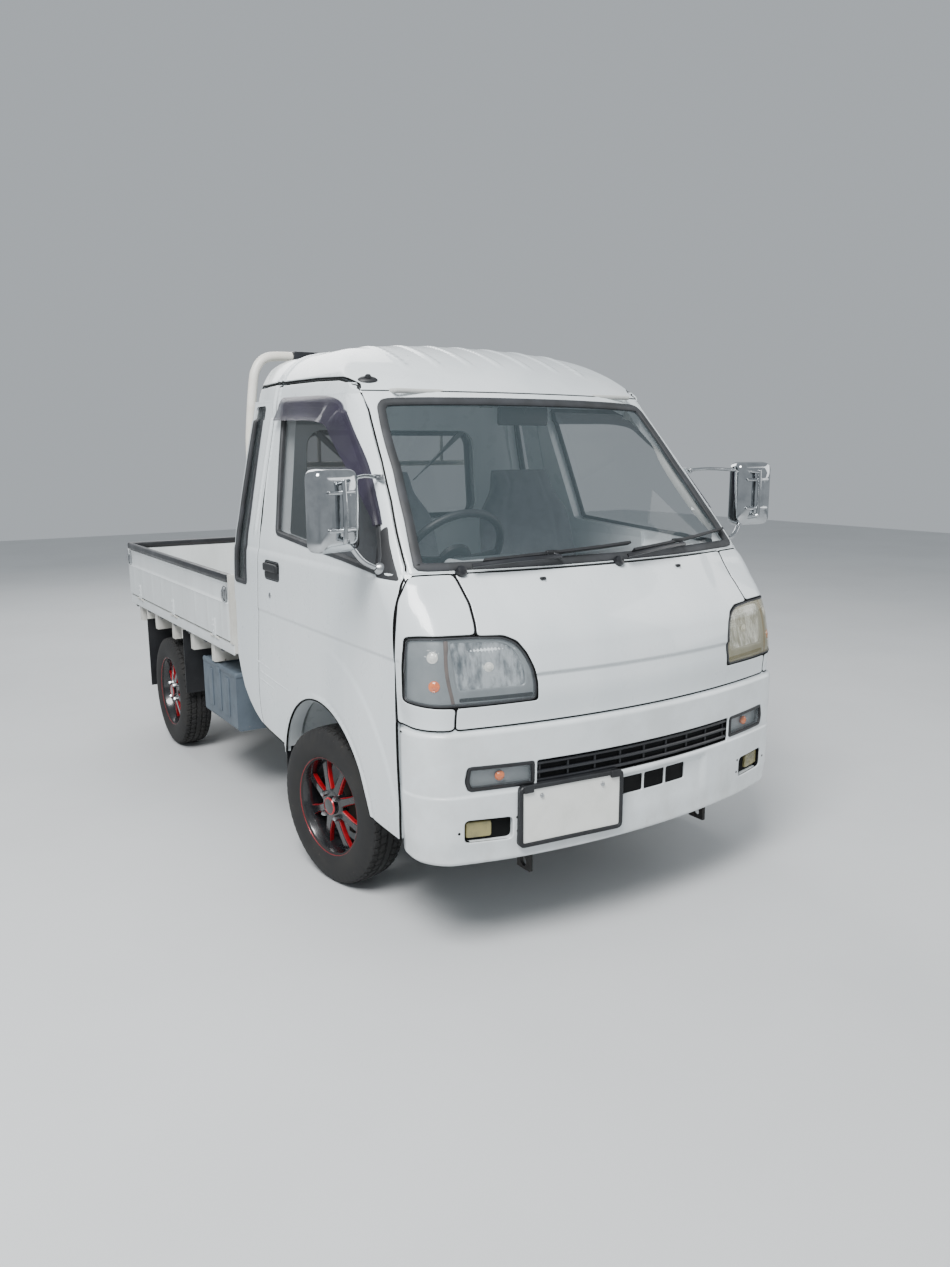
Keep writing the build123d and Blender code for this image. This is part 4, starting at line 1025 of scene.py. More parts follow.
class Finishes:
    """Every finish of the truck, made once."""

    def __init__(self) -> None:
        """Makes the materials."""
        # Oven-cured white paint under clear lacquer, with thin rain streaks and road dust low down
        self.white = Finish(
            "white_body_paint", "#DFE5E7", "#D2D9DC", 3.0, speck="#C4C2BA", speck_scale=26, speck_from=0.69,
            speck_soft=0.12, streak=0.12, dust="#9C9284", dust_top=0.62, dust_share=0.28, rough=0.3,
            rough_spread=0.06, coat=0.7, coat_rough=0.06,
        ).make()
        # The bumper's paint, a little greyer, with stains and stone chips
        self.bumper = Finish(
            "white_bumper_paint", "#DEE4E6", "#D0D5D6", 7.0, speck="#8E877B", speck_scale=95, speck_from=0.71,
            speck_soft=0.05, dust="#8F8575", dust_top=0.56, dust_share=0.4, rough=0.36, rough_spread=0.08,
            coat=0.5, coat_rough=0.12,
        ).make()
        # Commercial white on the bed, duller, with rust specks drawn out downwards
        self.bed = Finish(
            "white_bed_paint", "#DADFE0", "#CCD0D0", 5.0, speck="#9A8A76", speck_scale=60, speck_from=0.72,
            speck_soft=0.04, streak=0.3, dust="#8E8474", dust_top=0.8, dust_share=0.35, rough=0.42,
            rough_spread=0.1, coat=0.3, coat_rough=0.2,
        ).make()
        # Worn paint inside the bed, scuffed to the primer
        self.bed_inside = Finish(
            "worn_bed_paint", "#D5D4CE", "#BFBDB5", 9.0, speck="#6F655A", speck_scale=34, speck_from=0.67,
            speck_soft=0.03, rough=0.6, rough_spread=0.12, grain_scale=240, grain_mm=0.12,
        ).make()
        # Thick brushed off-white enamel on the guard's pipes
        self.guard = Finish(
            "off_white_guard_enamel", "#E4E2DA", "#D6D2C6", 8.0, speck="#A1917A", speck_scale=80, speck_from=0.72,
            rough=0.45, coat=0.25, coat_rough=0.2, grain_scale=160, grain_mm=0.15,
        ).make()
        # Satin black enamel
        self.black = Finish(
            "satin_black_enamel", "#15161A", "#202227", 8.0, rough=0.38, coat=0.15, grain_scale=500, grain_mm=0.03
        ).make()
        # Weathered moulded plastic
        self.trim = Finish(
            "moulded_black_plastic", "#17181B", "#212326", 12.0, speck="#2E3032", speck_scale=140,
            speck_from=0.64, rough=0.55, grain_scale=1400, grain_mm=0.05,
        ).make()
        # Extruded window rubber
        self.seal = Finish(
            "window_seal_rubber", "#26282A", "#34363A", 10.0, rough=0.62, rough_spread=0.08, grain_scale=700,
            grain_mm=0.04,
        ).make()
        # Tyre rubber with specks of dried mud
        self.tyre = Finish(
            "black_tyre_rubber", "#1B1B1C", "#2A2927", 9.0, speck="#4A453D", speck_scale=55, speck_from=0.66,
            speck_soft=0.1, rough=0.82, rough_spread=0.08, grain_scale=620, grain_mm=0.12,
        ).make()
        # Gloss black powder coat on the alloy
        self.rim_black = Finish(
            "gloss_black_alloy_coat", "#101114", "#1A1B1E", 10.0, speck="#55504A", speck_scale=170,
            speck_from=0.72, rough=0.26, coat=0.6, coat_rough=0.08,
        ).make()
        # Red candy coat on the spokes' edges
        self.rim_red = Finish(
            "red_candy_coat", "#B01722", "#8E1019", 14.0, rough=0.3, metal=0.3, coat=0.6, coat_rough=0.08
        ).make()
        # Chrome plate
        self.chrome = Finish(
            "chrome_plate", "#BFC2C4", "#A6A9AC", 16.0, rough=0.1, rough_spread=0.04, metal=1.0
        ).make()
        # Bright zinc on stays and nuts
        self.stay = Finish(
            "zinc_plated_steel", "#B9BCBE", "#A2A4A6", 24.0, speck="#8C7E6C", speck_scale=120, speck_from=0.7,
            rough=0.3, metal=1.0,
        ).make()
        # Silvered mirror glass
        self.mirror = Finish(
            "silvered_glass", "#E6EAEC", "#DDE2E5", 5.0, rough=0.04, rough_spread=0.01, metal=1.0
        ).make()
        # Laminated screen with a neutral tint
        self.screen = Finish(
            "tinted_screen_glass", "#56646A", "#5D6B70", 2.0, rough=0.035, rough_spread=0.01, alpha=0.27, coat=0.6,
            coat_rough=0.03,
        ).make()
        # Tempered side glass
        self.side_glass = Finish(
            "tinted_side_glass", "#141C1F", "#192225", 2.0, rough=0.035, rough_spread=0.01, alpha=0.42, coat=0.6,
            coat_rough=0.03,
        ).make()
        # Smoked acrylic rain visor
        self.visor = Finish(
            "smoked_acrylic", "#2E2B38", "#3A3646", 6.0, rough=0.22, rough_spread=0.04, alpha=0.62, specular=0.35
        ).make()
        # Fluted clear lens
        self.lens = Finish(
            "clear_lens_glass", "#AEB9BE", "#A4B0B6", 6.0, rough=0.05, rough_spread=0.02, alpha=0.13, coat=0.7,
            coat_rough=0.03, wave_scale=26, wave_mm=0.3,
        ).make()
        # The same lens gone yellow in the sun
        self.lens_aged = Finish(
            "aged_lens_plastic", "#B4AB84", "#A69C70", 8.0, rough=0.1, rough_spread=0.03, alpha=0.4, coat=0.6,
            coat_rough=0.06, wave_scale=26, wave_mm=0.3,
        ).make()
        # Clear bulb glass
        self.bulb = Finish("bulb_glass", "#F2F2EC", "#E4E4DD", 30.0, rough=0.08, alpha=0.75, coat=0.5).make()
        # Amber bulb glass
        self.amber = Finish("amber_bulb_glass", "#E8761A", "#C95A0E", 30.0, rough=0.14, coat=0.5).make()
        # Fog lamp glass, yellowed
        self.fog = Finish(
            "yellowed_fog_glass", "#A39A66", "#7F7A5A", 24.0, rough=0.12, alpha=0.85, coat=0.5, wave_scale=60,
            wave_mm=0.5,
        ).make()
        # Red rear lens
        self.red_lens = Finish(
            "red_lens_plastic", "#A01118", "#7D0C12", 12.0, rough=0.15, coat=0.6, wave_scale=60, wave_mm=0.4
        ).make()
        # Grey bezel of the headlamp
        self.bezel = Finish(
            "grey_lamp_bezel", "#7F8486", "#72777A", 16.0, rough=0.42, metal=0.3, coat=0.3, coat_rough=0.2
        ).make()
        # Brown divider inside the lamp
        self.divider = Finish("brown_lamp_divider", "#5B4A41", "#493A33", 18.0, rough=0.5).make()
        # Grey woven seat cloth
        self.cloth = Finish(
            "grey_woven_seat_cloth", "#74777C", "#65686D", 20.0, speck="#73767B", speck_scale=500, speck_from=0.58,
            rough=0.92, rough_spread=0.04, sheen=0.35, weave=420, grain_scale=900, grain_mm=0.1,
        ).make()
        # Grained dash moulding
        self.dash = Finish(
            "grained_dash_plastic", "#A3A8AA", "#969B9E", 8.0, rough=0.62, grain_scale=1100, grain_mm=0.08
        ).make()
        # Pressed headliner board
        self.liner = Finish(
            "pressed_headliner", "#B9BBB8", "#ADAFAC", 8.0, rough=0.9, grain_scale=800, grain_mm=0.12
        ).make()
        # Blue-grey polyethylene of the tool box
        self.box = Finish(
            "blue_grey_box_plastic", "#59646E", "#4C565F", 10.0, speck="#7B766C", speck_scale=60, speck_from=0.68,
            rough=0.6, grain_scale=700, grain_mm=0.1,
        ).make()
        # Tank steel under thin paint, rusting
        self.rust = Finish(
            "rusting_tank_steel", "#443F3A", "#5B4737", 18.0, speck="#3A2A22", speck_scale=48, speck_from=0.6,
            speck_soft=0.15, rough=0.85, grain_scale=300, grain_mm=0.3,
        ).make()
        # Black chassis paint with mud and surface rust
        self.frame = Finish(
            "black_chassis_paint", "#1F1E1D", "#2E2A26", 12.0, speck="#5A4433", speck_scale=38, speck_from=0.66,
            speck_soft=0.1, rough=0.75, grain_scale=260, grain_mm=0.2,
        ).make()
        # Sand-cast iron
        self.cast = Finish(
            "sand_cast_iron", "#3A3633", "#4A3E35", 14.0, speck="#6B4A34", speck_scale=42, speck_from=0.64,
            speck_soft=0.1, rough=0.8, metal=0.4, grain_scale=420, grain_mm=0.3,
        ).make()
        # Blank reflective plate
        self.plate = Finish("blank_plate_enamel", "#E8E9E4", "#DCDDD7", 10.0, rough=0.42, coat=0.3).make()
        # Painted shade: near-black standing in for the shadow in joints and openings that no light reaches
        self.dark = Finish("painted_shade_black", "#08090A", rough=0.8, specular=0.2).make()
        # Vacuum-metallised reflector; its upright light and dark streaks are painted reflections of its flutes
        self.reflector_painted_streaks = Finish(
            "metallised_reflector", "#F0F4F5", "#5E676D", 42.0, streak=0.3, rough=0.16, metal=0.85
        ).make()
        # Pale studio floor
        self.floor = Finish("pale_studio_floor", "#C9CBCC", "#C4C6C7", 0.8, rough=0.7, rough_spread=0.05).make()

    def dress_nodes(self, nodes: dict) -> None:
        """Gives each CAD node that stays in sight its real material."""
        table = {
            "chassis_frame": self.frame, "front_suspension": self.cast, "rear_axle": self.cast,
            "engine_block": self.cast, "fuel_tank": self.rust, "tool_box": self.box, "cab_body": self.white,
            "cab_roof": self.white, "front_panel": self.white, "corner_panels": self.white,
            "front_bumper": self.bumper, "grille": self.trim, "headlamp_right": self.bezel,
            "headlamp_left": self.bezel, "bumper_lamps": self.fog, "front_plate": self.plate,
            "windscreen": self.screen, "screen_seal": self.seal, "rear_glass": self.side_glass,
            "door_right": self.white, "door_left": self.white, "door_glass_right": self.side_glass,
            "door_glass_left": self.side_glass, "mirror_right": self.chrome, "mirror_left": self.chrome,
            "wipers": self.black, "seats": self.cloth, "dashboard": self.dash, "bed_floor": self.bed_inside,
            "guard_frame": self.guard, "side_gate_right": self.bed, "side_gate_left": self.bed,
            "tailgate": self.bed, "rear_lamps": self.red_lens, "mud_flaps": self.trim,
            "knuckle_right": self.cast, "knuckle_left": self.cast,
        }
        for corner in ("front_right", "front_left", "rear_right", "rear_left"):
            table["tyre_" + corner] = self.tyre
            table["rim_" + corner] = self.rim_black
        for name, obj in nodes.items():
            material = table.get(name, self.frame)
            obj.data.materials.clear()
            obj.data.materials.append(material)


# ---------------------------------------------------------------- cab skins


def side_outline(points: Sequence[Sequence[float]], radius: float) -> np.ndarray:
    """Rounded outline in the side view from corners at (distance back from the front axle, z)."""
    return rounded_outline(np.asarray(points, float) + (FRONT_AXLE_Y, 0), radius)


@dataclass
class CabLines:
    """Where the cab's panels meet, as places on its form. Side runs are (distance from the front axle, z)."""

    gap: float = 2.4
    cowl_z: float = 1127.0
    seam_z: float = 1664.0
    bumper_low: float = 304.0
    pillar_run: tuple = (
        (-545, 1128), (-528, 1150), (-456, 1240), (-384, 1333), (-290, 1446), (-223, 1524), (-162, 1596),
        (-123, 1640), (-98, 1664),
    )
    drip_run: tuple = (
        (-92, 1670), (-70, 1687), (-44, 1700), (20, 1712), (200, 1720), (440, 1724), (620, 1725), (790, 1724),
    )
    screen_run: tuple = (
        (-650, 1142), (-646, 1160), (-621, 1277), (-592, 1419), (-574, 1540), (-556, 1612), (-530, 1636), (-500, 1641),
        (-380, 1644), (-190, 1646), (0, 1646),
    )
    lamp_low: tuple = ((390, 777), (560, 776), (690, 778))
    lamp_rear: tuple = ((-606, 785), (-606, 962))
    lamp_high: tuple = (
        (690, 968.5), (640, 969), (548, 967), (470, 961), (436, 944), (414, 912), (398, 872), (388, 830),
    )
    door_front: tuple = ((-562, 346), (-566, 700), (-566, 900), (-553, 1080), (-540, 1128))
    door_rear: tuple = (
        (530, 1709), (518, 1400), (507, 1150), (508, 1000), (514, 900), (535, 720), (556, 560), (552, 480), (535, 434),
    )
    lamp_window: tuple = (
        (424, 822), (624, 822), (631, 952), (560, 951), (486, 946), (452, 930), (434, 900), (424, 858),
    )
    window_points: tuple = (
        (352, 1185), (430, 1480), (468, 1640), (440, 1652), (20, 1628), (-60, 1597), (-140, 1532), (-262, 1420),
        (-402, 1256), (-456, 1166), (-452, 1126), (-227, 1145), (20, 1160),
    )
    quarter_points: tuple = ((624, 974), (752, 974), (752, 1300), (744, 1645), (650, 1645), (636, 1300))
    pillar_opening: tuple = (
        (-50, 1085), (-50, 1606), (-80, 1597), (-150, 1540), (-275, 1423), (-415, 1254), (-462, 1165), (-476, 1135),
        (-490, 1085),
    )
    rear_skirt: tuple = ((768, 660), (748, 606), (720, 548), (672, 500), (620, 465), (558, 438))
    door_top: tuple = ((-78, 1682), (-44, 1694), (20, 1704), (200, 1711), (440, 1715))
    handle_cup: tuple = ((292, 1019), (430, 1019), (432, 1086), (294, 1086))
    mirror_patch: tuple = ((-536, 1114), (-446, 1118), (-410, 1246), (-424, 1262), (-458, 1212))
    grille_opening: tuple = ((-395, 521), (395, 521), (395, 598), (-395, 598))
    turn_opening: tuple = ((402, 528), (604, 530), (614, 560), (606, 603), (402, 598))
    fog_opening: tuple = ((472, 372), (616, 378), (616, 446), (472, 440))
    rear_y: float = -55.0
    rear_window: tuple = ((-420, 1180), (420, 1180), (400, 1560), (-400, 1560))

    def screen_hole(self, grow: float = 0.0) -> np.ndarray:
        """Unrolled outline of the screen's opening, grown outwards by some millimetres."""
        half = np.asarray(self.screen_run, float)
        left = on_front(np.stack([-half[:, 0], half[:, 1]], 1))
        right = left[:-1][::-1] * (-1, 1, 1)
        bottom = on_front([(x, 1137.0) for x in (-620, -400, -200, 0, 200, 400, 620)])
        loop = rounded_outline(seen_radially(left, right, bottom), 26.0)
        return moved_in(loop, -grow)

    def frame_edge(self) -> np.ndarray:
        """Unrolled outline of the panel round the screen."""
        left = on_side(self.pillar_run)
        top = on_front([(x, self.seam_z) for x in (540, 360, 180, 0, -180, -360, -540)])
        right = left[::-1] * (-1, 1, 1)
        low = on_front([(x, self.cowl_z + 3) for x in (-640, -480, -240, 0, 240, 480, 640)])
        loop = rounded_outline(seen_radially(left, top, right, low), 6.0)
        return moved_in(loop, self.gap)

    def lamp(self) -> np.ndarray:
        """Unrolled outline of the left headlamp's opening."""
        runs = on_front(self.lamp_low), on_side(self.lamp_rear), on_front(self.lamp_high)
        return rounded_outline(seen_radially(*runs), 16.0)

    def window(self, grow: float = 0.0) -> np.ndarray:
        """Side outline of the left door's window, grown outwards by some millimetres."""
        return moved_in(side_outline(self.window_points, 26.0), -grow)

    def quarter(self, grow: float = 0.0) -> np.ndarray:
        """Side outline of the left quarter window, grown outwards by some millimetres."""
        return moved_in(side_outline(self.quarter_points, 20.0), -grow)

    def door(self) -> np.ndarray:
        """Side outline of the left door, with the front wheel's arch cut from it."""
        angle = np.radians(np.linspace(12, 148, 26))
        arch = np.stack([-24 + 344 * np.cos(angle), 307 + 344 * np.sin(angle)], 1)
        foot = [(470, 424), (322, 408), *arch[arch[:, 1] > 372].tolist(), (-372, 356), (-460, 350)]
        loop = [*self.pillar_run[1:], *self.door_top, *self.door_rear, *foot, *self.door_front]
        return moved_in(side_outline(loop, 6.0), self.gap)

    def rear_side(self) -> np.ndarray:
        """Side outline of the body behind the left door."""
        rear = self.rear_y - FRONT_AXLE_Y
        front = [(a + 1.0, b) for a, b in self.door_rear[::-1]]
        loop = [*front, (530, 1719), (660, 1719), (rear, 1717), (rear, 690), *self.rear_skirt]
        return moved_in(side_outline(loop, 5.0), self.gap)


@dataclass
class Cab:
    """Painted skins, glass, seals and lamps of the cab that stay with the truck."""

    finishes: Finishes
    lines: CabLines = field(default_factory=CabLines)
    pitch: float = 9.0
    slots: tuple[float, ...] = (-184.0, -91.0, 2.0, 95.0)
    slot_width: float = 86.0

    def front_loop(self, points: Sequence[Sequence[float]], radius: float, inset: float = 0.0) -> np.ndarray:
        """Unrolled outline of an opening drawn in the front view."""
        return seen_radially(on_front(rounded_outline(points, radius), inset))

    def counter(self, loop: np.ndarray) -> np.ndarray:
        """The loop counter-clockwise."""
        area = np.sum(loop[:, 0] * np.roll(loop[:, 1], -1) - np.roll(loop[:, 0], -1) * loop[:, 1])
        return loop if area > 0 else loop[::-1]

    def hood(self) -> None:
        """Middle panel of the nose, between and above the headlamps."""
        top = on_front([(x, self.lines.cowl_z) for x in (540, 360, 180, 0)])
        run = on_front([(536, 1108), (530, 1050), (538, 1000), (546, 968)])
        lamp = [
            (546, 970.5), (469, 964.5), (433, 947), (410.5, 913), (394.5, 872), (384.5, 830), (386, 774), (560, 772.5),
            (626, 773),
        ]
        low = on_front([(628, 760), (629, 711)])
        left = np.concatenate([top[::-1], run, on_front(lamp[1:]), low, on_front([(400, 711), (200, 711)])])
        loop = np.concatenate([left, on_front([(0, 711)]), left[::-1][:-1] * (-1, 1, 1)])
        outline = rounded_outline(seen_radially(loop), 9.0)
        piece = CAB.skin(outline, Look.RADIAL, pitch=self.pitch).piece("hood_panel", self.finishes.white)
        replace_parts(piece, "front_panel")
        # Painted shade: a black strip in the gap round the hood
        self.gap_strip(outline).piece("hood_gap", self.finishes.dark)

    def structure(self, node: bpy.types.Object) -> None:
        """The cab body of the CAD again, open in front of the side windows, with a trim along each pillar.

        Planes through the opening's outline cut the copied mesh, and the faces between them are left out.

        Args:
            node: the CAD node that the piece stands for.
        """
        loop = np.asarray(self.lines.pillar_opening, float) + (FRONT_AXLE_Y, 0)
        work = bmesh.new()
        work.from_mesh(node.data)
        for start, run in zip(loop, np.roll(loop, -1, 0) - loop):
            cut = [*work.verts, *work.edges, *work.faces]
            place = (0.0, start[0] * MM, start[1] * MM)
            bmesh.ops.bisect_plane(work, geom=cut, dist=1e-6, plane_co=place, plane_no=(0.0, run[1], -run[0]))
        middles = np.array([tuple(face.calc_center_median()) for face in work.faces]) / MM
        open_here = inside_loop(middles[:, 1:], loop) & (np.abs(middles[:, 0]) > 560)
        doomed = [face for face, gone in zip(work.faces, open_here) if gone]
        bmesh.ops.delete(work, geom=doomed, context="FACES")
        mesh = bpy.data.meshes.new("cab_structure")
        work.to_mesh(mesh)
        work.free()
        mesh.set_sharp_from_angle(angle=np.radians(30.0))
        mesh.materials.clear()
        mesh.materials.append(self.finishes.white)
        piece = bpy.data.objects.new("cab_structure", mesh)
        bpy.context.scene.collection.objects.link(piece)
        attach(piece, "truck")
        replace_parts(piece, "cab_body")
        path = on_side(smooth_path(self.lines.pillar_opening[1:], 6), 36.0)
        section = [(-13, -13), (-16, 0), (-12, 10), (0, 13), (12, 10), (16, 0), (13, -13)]
        trim = sweep(path, section, CAB.normals(path, 36.0), closed=False).outward()
        trim.pair("pillar_trim", self.finishes.liner)

    def antenna(self) -> None:
        """Oval base with a short nub at the top of the pillar on the truck's right."""
        spot = on_side([(-63, 1700)])
        out = CAB.normals(spot)[0] * (-1, 1, 1)
        base = lathe([(-3, 0.1), (-3, 19), (2, 19), (6, 16), (8.5, 9), (9, 0.1)], 40)
        base.merge(lathe([(6, 0.1), (6, 6.5), (16, 6), (20, 4), (21, 0.1)], 24))
        turn = aim(out) @ np.diag([1.0, 1.7, 1.0])
        base.moved(turn, spot[0] * (-1, 1, 1)).piece("antenna_base", self.finishes.trim)

    def corners(self) -> None:
        """Corner panels that wrap round the outer ends of the headlamps."""
        lamp_low = [(632, 773), (672, 774), (696, 775)]
        lamp_side = on_side([(-602, 782), (-602, 880), (-602, 965)])
        lamp_top = [(696, 972), (640, 972.5), (600, 972), (552, 971)]
        loop = np.concatenate(
            [
                on_front([(634, 711), (634, 742)]), on_front(lamp_low), lamp_side, on_front(lamp_top),
                on_front([(545, 1000), (537, 1050), (543, 1108), (547, 1126)]), on_front([(600, 1126), (640, 1126)]),
                on_side([(-548, 1124), (-558, 1060), (-570, 900), (-572, 711)]), on_front([(700, 711)]),
            ]
        )
        outline = self.counter(rounded_outline(seen_radially(loop), 11.0))
        for piece in CAB.skin(outline, Look.RADIAL, pitch=self.pitch).pair("corner_panel", self.finishes.white):
            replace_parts(piece, "corner_panels")
        # Painted shade: black strips in the gaps round the corner panels
        self.gap_strip(outline).pair("corner_gap", self.finishes.dark)

    def screen_frame(self) -> None:
        """Screen pillars with the header above the glass, the rubber border and the pane."""
        hole = self.lines.screen_hole()
        outline = self.lines.frame_edge()
        frame = CAB.skin(outline, Look.RADIAL, [hole], pitch=self.pitch, flange=9.0, hole_flange=12.0)
        frame.piece("screen_frame", self.finishes.white)
        middle = self.lines.screen_hole(-11.0)
        lip = [(-14, -9), (-14, 2.5), (-9, 5.5), (4, 5.5), (10, 3.2), (14, -1), (14, -9)]
        seal = CAB.ring(middle, Look.RADIAL, lip)
        piece = seal.piece("screen_rubber", self.finishes.seal)
        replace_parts(piece, "screen_seal")
        pane = CAB.skin(self.lines.screen_hole(-18.0), Look.RADIAL, pitch=26.0, inset=4.5, edge=1.0, flange=4.0)
        pane_piece = pane.piece("screen_pane", self.finishes.screen)
        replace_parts(pane_piece, "windscreen")

    def roof(self) -> None:
        """High roof with its beads, a black strip of painted shade in its joint, and the headliner."""
        side = on_side([(d, z + 2.5) for d, z in self.lines.drip_run])
        edge_z = self.lines.seam_z + 4.0
        corner = CAB.to_plane(on_side([(-94.0, edge_z)]), Look.RADIAL)[0, 0]
        front = CAB.place(np.stack([np.linspace(0.0, corner, 18), np.full(18, edge_z)], 1), Look.RADIAL)
        left = np.concatenate([front, side, self.rear_arch()])
        loop = np.concatenate([left, left[1:-1][::-1] * (-1, 1, 1)])
        outline = rounded_outline(CAB.to_plane(loop, Look.CROWN), 8.0)
        roof = CAB.skin(outline, Look.CROWN, pitch=self.pitch, flange=7.0)
        piece = roof.piece("roof_skin", self.finishes.white)
        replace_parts(piece, "cab_roof")
        loop = moved_in(outline, -1.2)
        # Painted shade: a black strip in the roof's joint
        strip = CAB.ring(loop, Look.CROWN, [(-2.4, -6), (-2.4, -1.6), (2.4, -1.6), (2.4, -6)])
        strip.piece("roof_gap", self.finishes.dark)
        inner = moved_in(outline, 26)
        liner = CAB.skin(inner, Look.CROWN, pitch=30.0, inset=30.0, flange=6.0).turned_in()
        liner.piece("headliner", self.finishes.liner)

    def rear_arch(self) -> np.ndarray:
        """Places where the roof turns down at the back, from the left to the middle."""
        angles = np.linspace(52.0, 0.0, 12)
        flat = np.stack([np.radians(angles) * CAB.crown_unroll, np.full(12, self.lines.rear_y)], 1)
        return CAB.place(flat, Look.CROWN)

    def back(self) -> None:
        """Back wall with the rear window's opening and its rubber."""
        left = np.concatenate([self.rear_arch()[::-1], on_side([(797.5, z) for z in (1690, 1400, 1130, 925, 690)])])
        points = np.concatenate([left, left[::-1][:-1] * (-1, 1, 1)])
        loop = rounded_outline(CAB.to_plane(points, Look.BACK), 6.0)
        hole = rounded_outline(self.lines.rear_window, 70.0)
        inset = moved_in(loop, 3.0)
        CAB.skin(inset, Look.BACK, [hole], pitch=14.0, flange=8.0).piece("back_wall", self.finishes.white)
        lip = [(-13, -8), (-13, 2.5), (-8, 6), (4, 6), (10, 3), (13, -1), (13, -8)]
        CAB.ring(moved_in(hole, 8), Look.BACK, lip).piece("rear_rubber", self.finishes.seal)

    def quarters(self) -> None:
        """Body sides behind the doors with the quarter windows' openings and rubbers, and black strips of painted shade
        in the doors' gaps.
        """
        side = CAB.skin(self.lines.rear_side(), Look.SIDE, [self.lines.quarter()], pitch=self.pitch)
        lip = [(-9, -8), (-9, 2), (-5, 4.5), (4, 4.5), (8, 1), (9, -2), (9, -8)]
        seal = CAB.ring(self.lines.quarter(-6.0), Look.SIDE, lip)
        # Painted shade: a black strip in the gap round each door
        loop = moved_in(self.lines.door(), -0.9 * self.lines.gap)
        strip = CAB.ring(loop, Look.SIDE, [(-3.0, -6), (-3.0, -1.1), (3.0, -1.1), (3.0, -6)])
        strip.pair("door_gap_shade", self.finishes.dark)
        side.pair("body_side", self.finishes.white)
        seal.pair("quarter_rubber", self.finishes.seal)

    def bumper(self) -> None:
        """Bumper skin with its openings, black walls of painted shade inside them, and dark dots of painted shade for
        its screw holes.
        """
        low, out = self.lines.bumper_low, BUMPER_INSET
        left = np.concatenate(
            [
                on_front([(0, low), (240, low), (480, low)], out),
                on_side([(-640, 310), (-576, 316), (-578, 500), (-580, 690), (-582, 702)], out),
                on_front([(640, 703.5), (400, 703.5), (200, 703.5), (0, 703.5)], out),
            ]
        )
        points = np.concatenate([left, left[1:-1][::-1] * (-1, 1, 1)])
        outline = rounded_outline(seen_radially(points), 14.0)
        holes = [self.front_loop(self.lines.grille_opening, 6.0, out)]
        for shape, radius in ((self.lines.turn_opening, 11.0), (self.lines.fog_opening, 16.0)):
            loop = self.front_loop(shape, radius, out)
            holes += [loop, mirrored_loop(loop)]
        for left_x in self.slots:
            right_x = left_x + self.slot_width
            holes.append(self.front_loop([(left_x, 437), (right_x, 437), (right_x, 491), (left_x, 491)], 7.0, out))
        skin = CAB.skin(
            outline, Look.RADIAL, holes, pitch=7.0, inset=out, flange=9.0, hole_flange=20.0, edge=14.0, hole_edge=3.0
        )
        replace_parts(skin.piece("bumper_skin", self.finishes.bumper), "front_bumper")
        # Painted shade: black walls inside the openings, where the recesses fall dark
        walls = Shell()
        for loop in holes:
            walls.merge(self.deep_wall(moved_in(loop, 0.6), out + 4.5, 14.0))
        walls.piece("bumper_opening_walls", self.finishes.dark)
        # Painted shade: dark dots standing for the shadow in the screw holes
        dots = Shell()
        for x, z in ((632, 410), (459, 436), (457, 394)):
            for side in (LEFT, RIGHT):
                spot = on_front([(side * x, z)], out)
                head = [(0, 0.1), (0, 4.2), (0.7, 3.6), (0.8, 0.1)]
                dots.merge(turned(head, spot[0], CAB.normals(spot, out)[0], 14))
        dots.piece("bumper_screw_holes", self.finishes.dark)

    def gap_strip(self, outline: np.ndarray) -> Shell:
        """Painted shade: a black strip at the bottom of the joint round a panel, where the gap falls into shadow."""
        loop = moved_in(outline, -0.5 * self.lines.gap)
        return CAB.ring(loop, Look.RADIAL, [(-3.4, -5), (-3.4, -1.5), (3.4, -1.5), (3.4, -5)])

    def lamps(self) -> None:
        """Headlamps: a deep grey housing with a fluted reflector carrying painted streaks of reflection, three bulbs, a
        divider, a fluted lens and a black slot of painted shade.
        """
        outline = self.lines.lamp()
        window = self.front_loop(self.lines.lamp_window, 14.0)
        slot = self.front_loop([(402, 787), (622, 789), (622, 800), (402, 799)], 4.0)
        lens = CAB.skin(moved_in(outline, 2.5), Look.RADIAL, pitch=16.0, inset=1.0, flange=16.0, edge=5.0)
        rim = [(-4.5, -30), (-4.5, -2), (-3, 0.6), (0, 0.6), (1.5, -2), (2, -30)]
        edge = CAB.ring(moved_in(outline, 5), Look.RADIAL, rim)
        housing = CAB.skin(
            moved_in(outline, 7.0), Look.RADIAL, [window], pitch=12.0, inset=7.0, flange=40.0, hole_flange=26.0,
            edge=2.0, hole_edge=6.0,
        )
        # Painted shade: a black slot across the housing
        strip = CAB.skin(slot, Look.RADIAL, pitch=12.0, inset=6.0, flange=1.0, edge=1.0)
        clear, amber = self.bulbs()
        # The reflector's finish carries painted reflections, and the slot's is painted shade
        parts = [
            (edge, "lamp_edge_", self.finishes.seal), (self.reflector(), "lamp_reflector_", self.finishes.reflector_painted_streaks),
            (self.lamp_divider(), "lamp_divider_", self.finishes.divider), (clear, "lamp_bulb_", self.finishes.bulb),
            (amber, "lamp_amber_", self.finishes.amber), (strip, "lamp_slot_", self.finishes.dark),
            (housing, "lamp_housing_", self.finishes.bezel),
        ]
        # In the photograph the lens on the truck's left has gone yellow and the other has not
        for side, tail, glass in ((LEFT, "left", self.finishes.lens_aged), (RIGHT, "right", self.finishes.lens)):
            for shell, name, material in [(lens, "lamp_lens_", glass), *parts]:
                piece = (shell if side == LEFT else shell.mirrored()).piece(name + tail, material)
                if name == "lamp_housing_":
                    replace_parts(piece, "headlamp_" + tail)

    def deep_wall(self, loop: np.ndarray, start: float, end: float) -> Shell:
        """The inner wall of a recess, from one depth below the surface to another, facing its inside."""
        rows = np.stack([CAB.place(loop, Look.RADIAL, depth) for depth in np.linspace(start, end, 4)])
        return Shell().grid(rows, around=True).outward_to(rows.reshape(-1, 3).mean(0)).turned_in()

